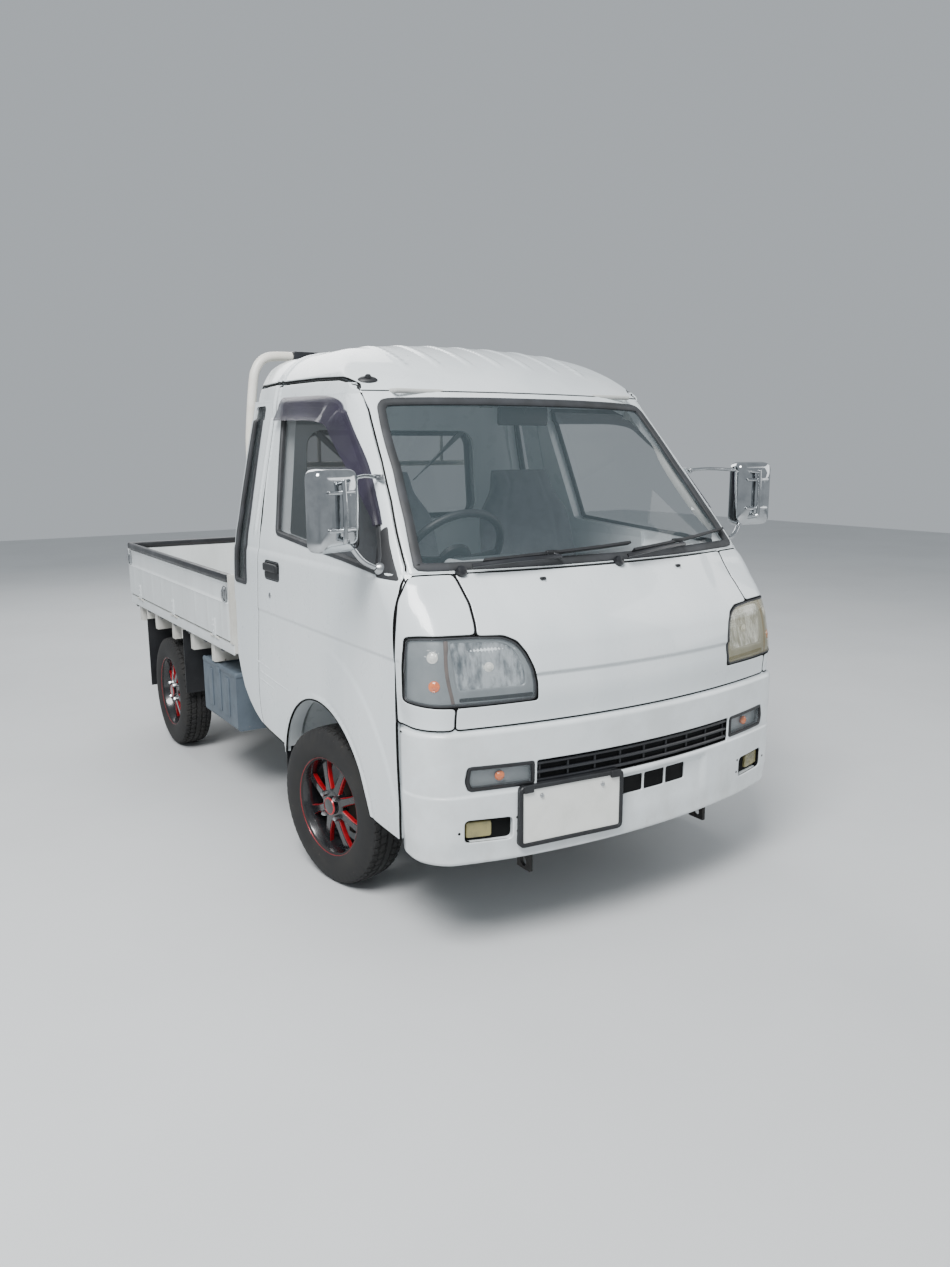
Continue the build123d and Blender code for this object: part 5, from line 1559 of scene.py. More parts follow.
    def reflector(self) -> Shell:
        """Fluted sheet 12 mm behind the main lens: a bowl up to 7 mm deep, less ribs of 1.3 |sin 0.3 x| mm."""
        x, z = np.meshgrid(np.linspace(418, 638, 160), np.linspace(816, 958, 16))
        places = on_front(np.stack([x.ravel(), z.ravel()], 1), 12.0)
        bowl = 7.0 * np.clip(1 - ((x.ravel() - 520) / 118) ** 2 - ((z.ravel() - 886) / 80) ** 2, 0, 1)
        rib = 1.3 * np.abs(np.sin(x.ravel() * 0.3))
        places[:, 1] += bowl - rib
        return Shell().grid(places.reshape(*x.shape, 3)).outward_to((520, -900, 880))

    def lamp_divider(self) -> Shell:
        """The brown wall between the main lamp and the outer clear part."""
        rows = []
        for k in np.linspace(0, 1, 10):
            p = on_front([(634 + 10 * np.sin(k * 3.1), 786 + 172 * k)])[0]
            rows.append([p + (0, 5, 0), p + (7, 8, 0), p + (4, 60, 0), p + (-6, 60, 0), p + (-7, 8, 0)])
        grid = np.array(rows)
        return Shell().grid(grid, around=True).fan(grid[0], flip=True).fan(grid[-1])

    def bulbs(self) -> tuple[Shell, Shell]:
        """The clear bulbs, and the amber one at the foot of the outer part."""
        glass = [(0, 0.1), (0, 14), (2.5, 14), (3.5, 11), (3.5, 8), (7, 6), (8, 3), (8.5, 0.1)]
        main = turned(glass, on_front([(520, 878)], 16.0)[0], (0.3, -1, 0), 20)
        dome = [(-3, 0.1), (-3, 16), (1, 16), (2.2, 14.5), (1.2, 13), (3.2, 9), (4.4, 4), (4.8, 0.1)]
        outer = []
        for x, z in ((676, 914), (680, 836)):
            spot = on_front([(x, z)], 7.0)
            outer.append(turned(dome, spot[0], CAB.normals(spot, 7.0)[0], 24))
        return main.merge(outer[0]), outer[1]

    def nose_trim(self) -> None:
        """Grille bars with a sheet of painted shade behind them, turn lamps, fog lamps in recesses floored with painted
        shade, and a sheet of painted shade behind the intake.
        """
        bars = Shell()
        x = np.linspace(-392, 392, 60)
        section = [(-5, -16), (-5, -1), (-2.5, 1.5), (2.5, 1.5), (5, -1), (5, -16)]
        for z in (533.0, 559.5, 586.0):
            path = on_front(np.stack([x, np.full(60, z)], 1))
            bars.merge(sweep(path, section, (0, -1, 0), closed=False))
        for px in np.linspace(-380, 380, 9):
            bars.merge(tube(on_front([(px, 524), (px, 559), (px, 595)], 7.0), 4.0, 8))
        piece = bars.piece("grille_bars", self.finishes.black)
        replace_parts(piece, "grille")
        # Painted shade: a black sheet behind the grille
        self.dark_sheet([(-397, 519), (397, 519), (397, 600), (-397, 600)], 6.0, 8.5, 24.0, "grille_back")
        turn = self.front_loop(self.lines.turn_opening, 11.0, BUMPER_INSET)
        fog = self.front_loop(self.lines.fog_opening, 16.0, BUMPER_INSET)
        fog_glass = self.front_loop([(528, 386), (606, 388), (606, 437), (528, 434)], 9.0, 8.0)
        lens = CAB.skin(moved_in(turn, 9), Look.RADIAL, pitch=14.0, inset=-5.5, flange=10.0, edge=3.0)
        rim = [(-5, -18), (-5, 0), (-2, 2), (3, 2), (5, -1), (5, -18)]
        surround = CAB.ring(moved_in(turn, 5), Look.RADIAL, rim, BUMPER_INSET)
        bed = CAB.skin(moved_in(turn, 4), Look.RADIAL, pitch=20.0, inset=9.0, flange=1.0)
        fog_bed = CAB.skin(moved_in(fog, -1.5), Look.RADIAL, pitch=20.0, inset=12.0, flange=1.0)
        fog_lens = CAB.skin(fog_glass, Look.RADIAL, pitch=14.0, inset=4.0, flange=12.0, edge=4.0)
        glass = [(-4, 0.1), (-4, 13), (3, 15), (7, 13), (10, 8), (11.5, 0.1)]
        bulb = turned(glass, on_front([(505, 565)], 6.0)[0], (0.25, -1, 0), 20)
        for piece in lens.pair("turn_lens", self.finishes.lens):
            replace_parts(piece, "bumper_lamps")
        surround.pair("turn_rim", self.finishes.trim)
        bed.pair("turn_bed", self.finishes.bezel)
        bulb.pair("turn_bulb", self.finishes.amber)
        # Painted shade: a black floor in each fog lamp's recess
        fog_bed.pair("fog_bed", self.finishes.dark)
        fog_lens.pair("fog_lens", self.finishes.fog)
        # Painted shade: a black sheet behind the intake
        self.dark_sheet([(-190, 430), (190, 430), (190, 498), (-190, 498)], 8.0, -1.5, 30.0, "intake_back")

    def dark_sheet(
        self, points: Sequence[Sequence[float]], radius: float, inset: float, pitch: float, name: str
    ) -> None:
        """A black sheet behind an opening of the bumper, painted shade for the dark space there."""
        loop = self.front_loop(points, radius, inset)
        CAB.skin(loop, Look.RADIAL, pitch=pitch, inset=inset, flange=1.0).piece(name, self.finishes.dark)

    def nozzles(self) -> None:
        """Two washer nozzles on the hood."""
        made = Shell()
        for nx in (-279.0, 272.0):
            spot = on_front([(nx, 1101)])[0]
            made.merge(soft_box(spot + (0, -1, 2), (20, 12, 9), 4.0))
            made.merge(turned([(0, 0.1), (0, 2.6), (3, 2.4), (3.2, 0.1)], spot + (0, -8, 2), (0, -1, 0.2), 12))
        made.piece("washer_nozzles", self.finishes.trim)

    def number_plate(self) -> None:
        """Blank plate in a thick black frame with a clip at each upper corner."""
        angle = np.arctan2(-285.0, BOW_AXIS_Y - NOSE_Y)
        u = np.array([np.cos(angle), np.sin(angle), 0.0])
        v = np.array([0.0, 0.0, 1.0])
        n = np.cross(u, v)
        beside = on_front([(-400.0, 436.0)], BUMPER_INSET)[0]
        reach = np.hypot(beside[0], beside[1] - BOW_AXIS_Y)
        centre = np.array([np.sin(angle) * reach, BOW_AXIS_Y - np.cos(angle) * reach, 436.0])
        outer = rounded_outline([(-173, -87), (173, -87), (173, 87), (-173, 87)], 12.0)
        section = [(-7, -12), (-7, 6), (-4.5, 9), (4.5, 9), (7, 6), (7, -12)]
        frame = moulding(centre + outer[:, :1] * u + outer[:, 1:] * v, section, n)
        clip = soft_box((0, 0, 0), (34, 16, 24), 4.0)
        for cx in (-150, 150):
            frame.merge(clip.moved(np.stack([u, -n, v], 1), centre + cx * u + 84 * v + 4 * n))
        frame.piece("plate_frame", self.finishes.trim)
        face = rounded_outline([(-167, -81), (167, -81), (167, 81), (-167, 81)], 8.0)
        piece = plate(face, (centre + 5 * n, u, v), 2.0, 1.0).piece("plate_blank", self.finishes.plate)
        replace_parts(piece, "front_plate")
        bolts = Shell()
        for bx in PLATE_BOLTS:
            bolts.merge(turned(BOLT_HEAD, centre + bx * u + 58 * v + 5 * n, n, 16))
        bolts.piece("plate_bolts", self.finishes.stay)

    def wipers(self) -> None:
        """Two wipers on big round pivots, parked along the foot of the screen."""
        arms, blades = Shell(), Shell()
        pivot = [(-6, 0.1), (-6, 17), (10, 17), (15, 14), (17, 8), (17.5, 0.1)]
        out = (0.0, -0.8, 0.6)
        for pivot_x, tip_x, rise in ((-521.0, 90.0, 1176.0), (20.0, 618.0, 1188.0)):
            arms.merge(turned(pivot, on_front([(pivot_x, 1131)])[0], (0, -0.85, 0.55), 24))
            along = np.linspace(0.04, 0.52, 12)
            lift = 22 + 10 * np.sin(along * 6)
            places = on_front(np.stack([pivot_x + (tip_x - pivot_x) * along, 1135 + (rise - 1148) * along], 1))
            path = places + np.stack([np.zeros(12), -lift, 0.6 * lift], 1)
            arms.merge(sweep(path, [(-6, -3), (-6, 2), (0, 4), (6, 2), (6, -3)], out, closed=False))
            share = np.linspace(0.12, 1.0, 30)
            line = on_front(np.stack([pivot_x + (tip_x - pivot_x) * share, 1150 + (rise - 1150) * share], 1))
            spine, rubber = line + (0, -15, 11), line + (0, -8, 6)
            blades.merge(sweep(spine, [(-4, -3), (-4, 3), (4, 3), (4, -3)], out, closed=False))
            blades.merge(sweep(rubber, [(-1.5, -7), (-3, 5), (3, 5), (1.5, -7)], out, closed=False))
            joint = spine[12]
            blades.merge(soft_box(joint, (44, 14, 14), 4.0))
            arms.merge(tube(np.array([path[-1], joint]), 4.0, 10))
        piece = arms.piece("wiper_arms", self.finishes.black)
        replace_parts(piece, "wipers")
        blades.piece("wiper_blades", self.finishes.trim)

    def build(self, body: bpy.types.Object) -> None:
        """Makes every piece of the cab that stays with the truck; body is the CAD's cab body."""
        self.structure(body)
        for step in (
            self.hood, self.corners, self.screen_frame, self.roof, self.back, self.quarters, self.bumper, self.lamps,
            self.nose_trim, self.nozzles, self.number_plate, self.wipers, self.antenna,
        ):
            step()
            LOG.info("cab step %s done", step.__name__)


# ---------------------------------------------------------------- doors


@dataclass
class Doors:
    """Both doors with their glass, seals, visors, handles and mirrors; made on the left and mirrored."""

    finishes: Finishes
    lines: CabLines = field(default_factory=CabLines)
    pitch: float = 9.0
    mirror_at: tuple[float, float, float] = (848.0, fa(-452), 1312.0)
    mirror_size: tuple[float, float] = (150.0, 230.0)

    def both(self, shell: Shell, name: str, material: bpy.types.Material, crease: float = CREASE) -> tuple:
        """Makes a piece on each door, and returns the left and the right one."""
        return shell.pair(name, material, ("door_left", "door_right"), crease)

    def skin(self) -> None:
        """Outer panel with the window's opening."""
        hole = self.lines.window(3.0)
        panel = CAB.skin(self.lines.door(), Look.SIDE, [hole], pitch=self.pitch, flange=18.0, hole_flange=20.0)
        self.both(panel, "door_skin", self.finishes.white)

    def glass(self) -> None:
        """Pane, its black rubber with the upright channel at the rear, and the outer belt rubber."""
        loop = self.lines.window()
        pane = CAB.skin(loop, Look.SIDE, pitch=26.0, inset=9.0, edge=1.0, flange=4.0)
        for piece, side in zip(self.both(pane, "door_pane", self.finishes.side_glass), ("left", "right")):
            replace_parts(piece, "door_glass_" + side)
        middle = self.lines.window(-4.0)
        section = [(-8, -10), (-8, 1.5), (-5, 4), (4, 4), (9, 0), (12, -7), (12, -10)]
        seal = CAB.ring(middle, Look.SIDE, section)
        post_x = np.linspace(1180, 1640, 24)
        post = on_side(np.stack([350 + (post_x - 1180) * 0.245, post_x], 1), 3.0)
        seal.merge(sweep(post, [(-16, -6), (-16, 2), (16, 2), (16, -6)], CAB.normals(post), closed=False).outward())
        self.both(seal, "door_rubber", self.finishes.seal)

    def visor(self) -> None:
        """Smoked visor over the window's top edge and down its front slope, standing out like an eyebrow."""
        run = [
            (478, 1668), (300, 1664), (120, 1658), (0, 1640), (-70, 1606), (-150, 1538), (-262, 1436), (-360, 1322),
            (-405, 1264),
        ]
        path = smooth_path(run, 6)
        share = np.linspace(0, 1, len(path))
        width = 88.0 * (1 - smooth((share - 0.52) / 0.46) * 0.8)
        inward = left_of(path)
        rows = []
        for t, lift in ((0.0, 2.0), (0.12, 9.0), (0.3, 15.0), (0.6, 21.0), (1.0, 26.0)):
            places = on_side(path + inward * (width * t)[:, None])
            rows.append(places + CAB.normals(places) * (lift * (0.55 + 0.45 * (width / 88.0)))[:, None])
        outer = np.stack(rows)
        inner = outer - (2.6, 0, 0)
        grid = np.concatenate([outer, inner[::-1]])
        shell = Shell().grid(grid, along=True).fan(grid[:, 0]).fan(grid[:, -1], flip=True).outward()
        self.both(shell, "door_visor", self.finishes.visor)

    def details(self) -> None:
        """Handle in its recess, key lock, the patch under the mirror and the stamped louvre lines."""
        cup = side_outline(self.lines.handle_cup, 16.0)
        bowl = CAB.ring(cup, Look.SIDE, [(-3, -1), (-2, 0.8), (2, 0.8), (3, -1)])
        dish = CAB.skin(moved_in(cup, 3), Look.SIDE, pitch=8.0, inset=-0.7, edge=0.6, flange=1.0)
        self.both(dish, "handle_recess", self.finishes.trim)
        self.both(bowl, "handle_recess_edge", self.finishes.trim)
        spot = on_side([(362, 1060)])[0]
        grip = soft_box((0, 0, 0), (15, 124, 30), 7.0, arc=5).moved(np.eye(3), spot + (6.5, 0, 4))
        grip.merge(soft_box((0, 0, 0), (12, 16, 24), 4.0).moved(np.eye(3), spot + (3, -56, 0)))
        self.both(grip, "door_handle", self.finishes.trim)
        lock_at = on_side([(384, 960)])[0]
        lock = turned([(-2, 0.1), (-2, 11), (1.5, 10.5), (2.6, 8), (1.2, 6.5), (1.2, 0.1)], lock_at, (1, 0, 0.04), 24)
        lock.merge(soft_box(lock_at + (1.6, 0, 0), (1.4, 2, 8), 0.6))
        self.both(lock, "door_lock", self.finishes.stay)
        corner = side_outline(self.lines.mirror_patch, 8.0)
        patch = CAB.skin(corner, Look.SIDE, pitch=9.0, inset=-3.2, edge=2.0, flange=4.0)
        self.both(patch, "mirror_base_patch", self.finishes.trim)
        louvres = Shell()
        section = [(-4.5, -1), (-3, 1.6), (0, 2.6), (3, 1.6), (4.5, -1)]
        for start, end in (((526, 649), (250, 629)), ((561, 686), (430, 677)), ((540, 620), (396, 608))):
            run = on_side(np.linspace(start, end, 14), 1.2)
            louvres.merge(sweep(run, section, CAB.normals(run), closed=False).outward())
        self.both(louvres, "door_louvres", self.finishes.white)

    def mirror(self) -> None:
        """Chrome door mirror: a domed shell, silvered glass, an H of round stays and a slotted upper bracket."""
        centre = np.array(self.mirror_at)
        w, h = self.mirror_size
        loop = rounded_outline([(-w / 2, -h / 2), (w / 2, -h / 2), (w / 2, h / 2), (-w / 2, h / 2)], 30.0, 9.0)
        tilt = np.radians(12.0)
        u = np.array([np.cos(tilt), -np.sin(tilt), 0.0])
        v = np.array([0.0, 0.0, 1.0])
        n = np.array([np.sin(tilt), np.cos(tilt), 0.0])
        rows = []
        for depth, grow in ((31, -5), (31, 0), (26, 1.5), (8, 1.5), (-10, -1), (-22, -8), (-29, -22), (-32.5, -42)):
            ring = moved_in(loop, -grow)
            if grow < -20:
                ring = loop * (1 + grow / 75.0)
            rows.append(centre + ring[:, :1] * u + ring[:, 1:] * v + n * depth)
        grid = np.stack(rows)
        shell = Shell().grid(grid, around=True).fan(grid[-1]).outward()
        pieces = self.both(shell, "mirror_shell", self.finishes.chrome, 50.0)
        for piece, side in zip(pieces, ("left", "right")):
            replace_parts(piece, "mirror_" + side)
        glass_loop = moved_in(loop, 4.6)
        ring = centre + glass_loop[:, :1] * u + glass_loop[:, 1:] * v + n * 29.5
        glass = Shell().fan(ring).outward_to(centre)
        self.both(glass, "mirror_glass", self.finishes.mirror)
        stays = Shell()
        back = centre - n * 36
        for dz in (-52.0, 52.0):
            bar = smooth_path([back + u * -44 + v * dz, back - n * 7 + v * dz, back + u * 44 + v * dz], 6)
            stays.merge(tube(bar, 6.0, 12))
        stays.merge(tube(smooth_path([back - n * 10 - v * 86, back - n * 14, back - n * 10 + v * 86], 6), 7.0, 12))
        foot = on_side([(-458, 1142)])[0]
        lower = [foot + (2, 0, 0), foot + (52, 2, 26), foot + (92, 4, 76), back - n * 12 - v * 78]
        stays.merge(tube(smooth_path(lower), 8.5, 14))
        top = on_side([(-318, 1398)])[0]
        upper = [back - n * 12 + v * 80, top + (90, -60, 6), top + (22, -8, 2)]
        stays.merge(tube(smooth_path(upper), 6.0, 12))
        self.both(stays, "mirror_stays", self.finishes.chrome)
        base = turned([(-3, 0.1), (-3, 19), (6, 18), (12, 13), (16, 10)], foot, (0.95, 0, 0.3), 24)
        base.merge(soft_box(top + (6, -2, 0), (10, 58, 20), 4.0))
        screw = [(0, 0.1), (0, 4.5), (2.6, 4.2), (2.8, 1.6), (1.2, 0.1)]
        for dy in (-20, 0, 20):
            base.merge(turned(screw, top + (11, dy - 2, 0), (1, 0, 0), 14))
        self.both(base, "mirror_brackets", self.finishes.stay)

    def build(self) -> None:
        """Makes every piece of the doors."""
        self.skin()
        self.glass()
        self.visor()
        self.details()
        self.mirror()


# ---------------------------------------------------------------- wheels


@dataclass
class Wheel:
    """A tyre with its tread, and an eight-spoke alloy, made about X with its outer face towards +X."""

    finishes: Finishes
    width: float = 145.0
    radius: float = TYRE_RADIUS
    bead: float = 165.0
    spokes: int = 8
    blocks: int = 56
    stud_circle: float = 50.0

    def tyre(self) -> Shell:
        """Tyre carcass whose tread is cut by grooves: radius = R - g(across) - s(around, across)."""
        half = self.width / 2
        wall = np.array(
            [
                (-half + 16, self.bead - 1), (-half + 9, self.bead + 7), (-half + 3, self.bead + 22),
                (-half, self.bead + 44), (-half + 1, self.bead + 66), (-half + 6, self.bead + 86),
                (-half + 12, self.bead + 98),
            ]
        )
        across = np.linspace(-half + 15, half - 15, 45)
        crown = self.radius - 1.0 - 6.0 * np.abs(across / (half - 15)) ** 3.2
        around = np.linspace(0, 2 * np.pi, self.blocks * 8, endpoint=False)
        a, x = np.meshgrid(around, across)
        grooves = np.zeros_like(x)
        for line in (-38.0, -13.0, 13.0, 38.0):
            wander = 2.2 * np.sin(a * self.blocks)
            grooves = np.maximum(grooves, 6.5 * (np.abs(x - line - wander) < 2.9))
        phase = (a * self.blocks / (2 * np.pi) + 0.22 * np.abs(x) / 20) % 1
        sipes = 4.5 * (phase < 0.16) * (np.abs(x) > 13) + 2.0 * (phase > 0.55) * (phase < 0.62) * (np.abs(x) > 38)
        r = crown[:, None] - np.maximum(grooves, sipes * (grooves < 1))
        tread = np.stack([x, r * np.cos(a), r * np.sin(a)], -1)
        shell = Shell().grid(tread, around=True)
        rr = np.repeat(wall[:, 1][:, None], len(around), 1)
        rr[5:] += 1.4 * ((around * self.blocks / (2 * np.pi)) % 1 > 0.3)
        for sign, edge in ((1, tread[-1]), (-1, tread[0])):
            px = np.repeat(-sign * wall[:, 0][:, None], len(around), 1)
            grid = np.stack([px, rr * np.cos(around), rr * np.sin(around)], -1)
            shell.grid(np.concatenate([grid, edge[None]]), around=True)
        for sign in (1, -1):
            band = [(half - 7, 214), (half - 0.6, 216), (half - 0.6, 219), (half - 7, 221)]
            shell.merge(lathe([(sign * along, radius) for along, radius in band][::sign], 96))
        return shell.outward_to((0, 0, 0))

    def barrel(self) -> Shell:
        """Rim barrel with its lips and inner well."""
        half = self.width / 2
        profile = [
            (half - 16, 176), (half - 10, 177.5), (half - 8, 174), (half - 12, 170), (half - 24, 166), (half - 40, 158),
            (half - 70, 152), (-half + 30, 153), (-half + 14, 166), (-half + 10, 176), (-half + 16, 177),
            (-half + 20, 171), (-half + 34, 161), (0, 158), (half - 34, 164), (half - 18, 171),
        ]
        p = np.array(profile + profile[:1], float)
        return lathe(p, 96).outward_from_ring((0.0, 164.0))

    def spoke_faces(self, grow: float, front: float, depth: float) -> Shell:
        """Spokes: each is a bar that narrows to its middle and spreads to the rim, with its face set forwards."""
        shell = Shell()
        r = np.linspace(34, 157, 16)
        s = (r - 34) / 123
        half = 9.0 + 8.5 * (1 - s) ** 2 + 7.0 * s**3 + grow
        face = front - 16 * s**2 - 3 * np.sin(np.pi * s)
        for k in range(self.spokes):
            a = 2 * np.pi * k / self.spokes + np.pi / 8
            u, v = np.array([0, np.cos(a), np.sin(a)]), np.array([0, -np.sin(a), np.cos(a)])
            rows = []
            for side, inset in ((-1.0, depth), (-1.0, 2.6), (-0.86, 0.0), (0.86, 0.0), (1.0, 2.6), (1.0, depth)):
                x = face - inset
                rows.append(r[:, None] * u + (side * half)[:, None] * v + np.stack([x, 0 * x, 0 * x], 1))
            grid = np.stack(rows)
            shell.grid(grid).fan(grid[:, 0], flip=True).fan(grid[:, -1])
        return shell

    def rim_parts(self) -> tuple[Shell, Shell, Shell]:
        """Black faces, red edges, and the plated nuts."""
        half = self.width / 2
        front = half - 26.0
        black = self.barrel()
        black.merge(self.spoke_faces(0.0, front, 20.0).outward())
        disc = [(-30, 0.1), (-30, 58), (-6, 58), (-2, 55), (0, 48), (0, 34), (-1, 31)]
        cap = [(-1, 31), (8, 30.5), (11, 28), (12, 22), (12.5, 0.1)]
        hub = self.at(front, disc, 64).merge(self.at(front, cap, 48))
        black.merge(hub.outward_to((0, 0, 0)))
        red = self.spoke_faces(1.5, front - 2.0, 16.0).outward()
        lip = [(-12.5, 170.3), (-11.5, 171.8), (-9.4, 173.2), (-9.2, 171.4), (-11.8, 169.4)]
        red.merge(self.at(half, lip, 96).outward_from_ring((half - 11, 171)))
        band = [(9.0, 31.2), (11.6, 29.4), (12.4, 26.6), (11.2, 26.4), (8, 30.4)]
        red.merge(self.at(front, band, 48).outward_from_ring((front + 10.6, 28.6)))
        nut = [(-8, 0.1), (-8, 10.5), (8, 10.5), (11, 9), (15, 8), (18, 4), (18.5, 0.1)]
        nuts = Shell()
        for k in range(4):
            a = np.pi / 4 + k * np.pi / 2
            place = (0.0, self.stud_circle * np.cos(a), self.stud_circle * np.sin(a))
            nuts.merge(self.at(front, nut, 6).moved(np.eye(3), place))
        return black, red, nuts.outward()

    def at(self, along: float, profile: Sequence[Sequence[float]], segments: int) -> Shell:
        """A lathe form whose profile starts at a distance along the axle."""
        return lathe([(along + x, radius) for x, radius in profile], segments)

    def build(self, name: str, centre: Sequence[float], turn: np.ndarray) -> None:
        """Sets a wheel on its axle.

        Args:
            name: its corner, as in the CAD's names.
            centre: middle of the wheel.
            turn: rotation of its +X to the outside of the truck.
        """
        body = "wheel_" + name
        tyre = self.tyre().moved(turn, centre).piece("tyre_tread_" + name, self.finishes.tyre, body, 30.0)
        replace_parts(tyre, "tyre_" + name)
        black, red, nuts = self.rim_parts()
        rim = black.moved(turn, centre).piece("rim_face_" + name, self.finishes.rim_black, body, 34.0)
        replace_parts(rim, "rim_" + name)
        red.moved(turn, centre).piece("rim_edges_" + name, self.finishes.rim_red, body, 34.0)
        nuts.moved(turn, centre).piece("wheel_nuts_" + name, self.finishes.stay, body, 30.0)


def wheel_frame(joint: dict, side: int) -> tuple[np.ndarray, np.ndarray]:
    """Centre and rotation of a wheel from its spin joint.

    Args:
        joint: the record's joint with its anchor and axis.
        side: LEFT or RIGHT.

    Returns:
        The centre in millimetres, and the matrix whose first column points outwards.
    """
    anchor = np.asarray(joint["pos_m"], float) / MM
    axis = np.asarray(joint["axis"], float)
    outwards = axis / np.linalg.norm(axis) * (1 if axis[0] * side > 0 else -1)
    return anchor, aim(outwards)


# ---------------------------------------------------------------- bed and interior


def bar(
    start: Sequence[float], end: Sequence[float], section: Sequence[Sequence[float]], out: Sequence[float]
) -> Shell:
    """A straight bar of any section between two places."""
    return sweep(np.array([start, end], float), section, out, closed=False).outward()


@dataclass
class Gate:
    """A drop side or tailgate, drawn in its own plane: u along it, v up, w outwards."""

    length: float
    top: float = GATE_TOP_Z
    foot: float = 702.5
    thickness: float = 28.0
    ribs: int = 9

    def panel(self) -> Shell:
        """Pressed outer face with a step under the rail, a crease, and upright ribs below it."""
        half = self.length / 2
        z = np.array([self.foot, self.foot + 7, 722, 760, 800, 840, 858, 864, 870, 876, 905, 940, 948, 950])
        w = np.array([-10, 0, 0, 0, 0, 0, 0, 2.0, -5, -7, -7, -7, -2, 0], float)
        u = np.linspace(-half, half, 161)
        uu, zz = np.meshgrid(u, z)
        ww = np.repeat(w[:, None], len(u), 1)
        pitch = self.length / self.ribs
        near = np.abs((uu + half) % pitch - pitch / 2)
        face = (zz > 715) & (zz < 860)
        ww = ww + face * 3.4 * smooth((9 - near) / 7)
        ends = np.minimum(half - np.abs(uu), 6.0)
        ww = ww - 3.5 * (1 - ends / 6.0) ** 2
        outer = np.stack([uu, ww, zz], -1)
        inner = outer * (1, 0, 1) + (0, -self.thickness + 1.5, 0)
        grid = np.concatenate([outer, inner[::-1]])
        return Shell().grid(grid, along=True).fan(grid[:, 0]).fan(grid[:, -1]).outward()

    def rail(self) -> Shell:
        """Padded top rail with a rounded section and domed ends."""
        half = self.length / 2 - 1
        turn = np.linspace(0, 2 * np.pi, 22, endpoint=False)
        w = 15.5 * np.sign(np.cos(turn)) * np.abs(np.cos(turn)) ** 0.6
        z = 16.5 * np.sign(np.sin(turn)) * np.abs(np.sin(turn)) ** 0.6
        rows = []
        for sign in (-1, 1):
            for inset, grow in ((0, 0.72), (3, 0.93), (8, 1.0))[::-sign]:
                u = np.full(22, sign * (half - inset))
                rows.append(np.stack([u, w * grow - self.thickness / 2, z * grow + self.top - 17.2], 1))
        grid = np.array(rows)
        return Shell().grid(grid, around=True).fan(grid[0]).fan(grid[-1]).outward()

    def hinge(self, u: float) -> Shell:
        """Strap of a hinge over the foot of the panel, with its rivets."""
        strap = soft_box((u, 1.6, 741), (44, 4.5, 78), 2.0)
        for dz in (-20, 6, 28):
            strap.merge(turned([(0, 0.1), (0, 5), (2, 4.6), (3, 2.5), (3.3, 0.1)], (u, 3.6, 741 + dz), (0, 1, 0), 14))
        return strap


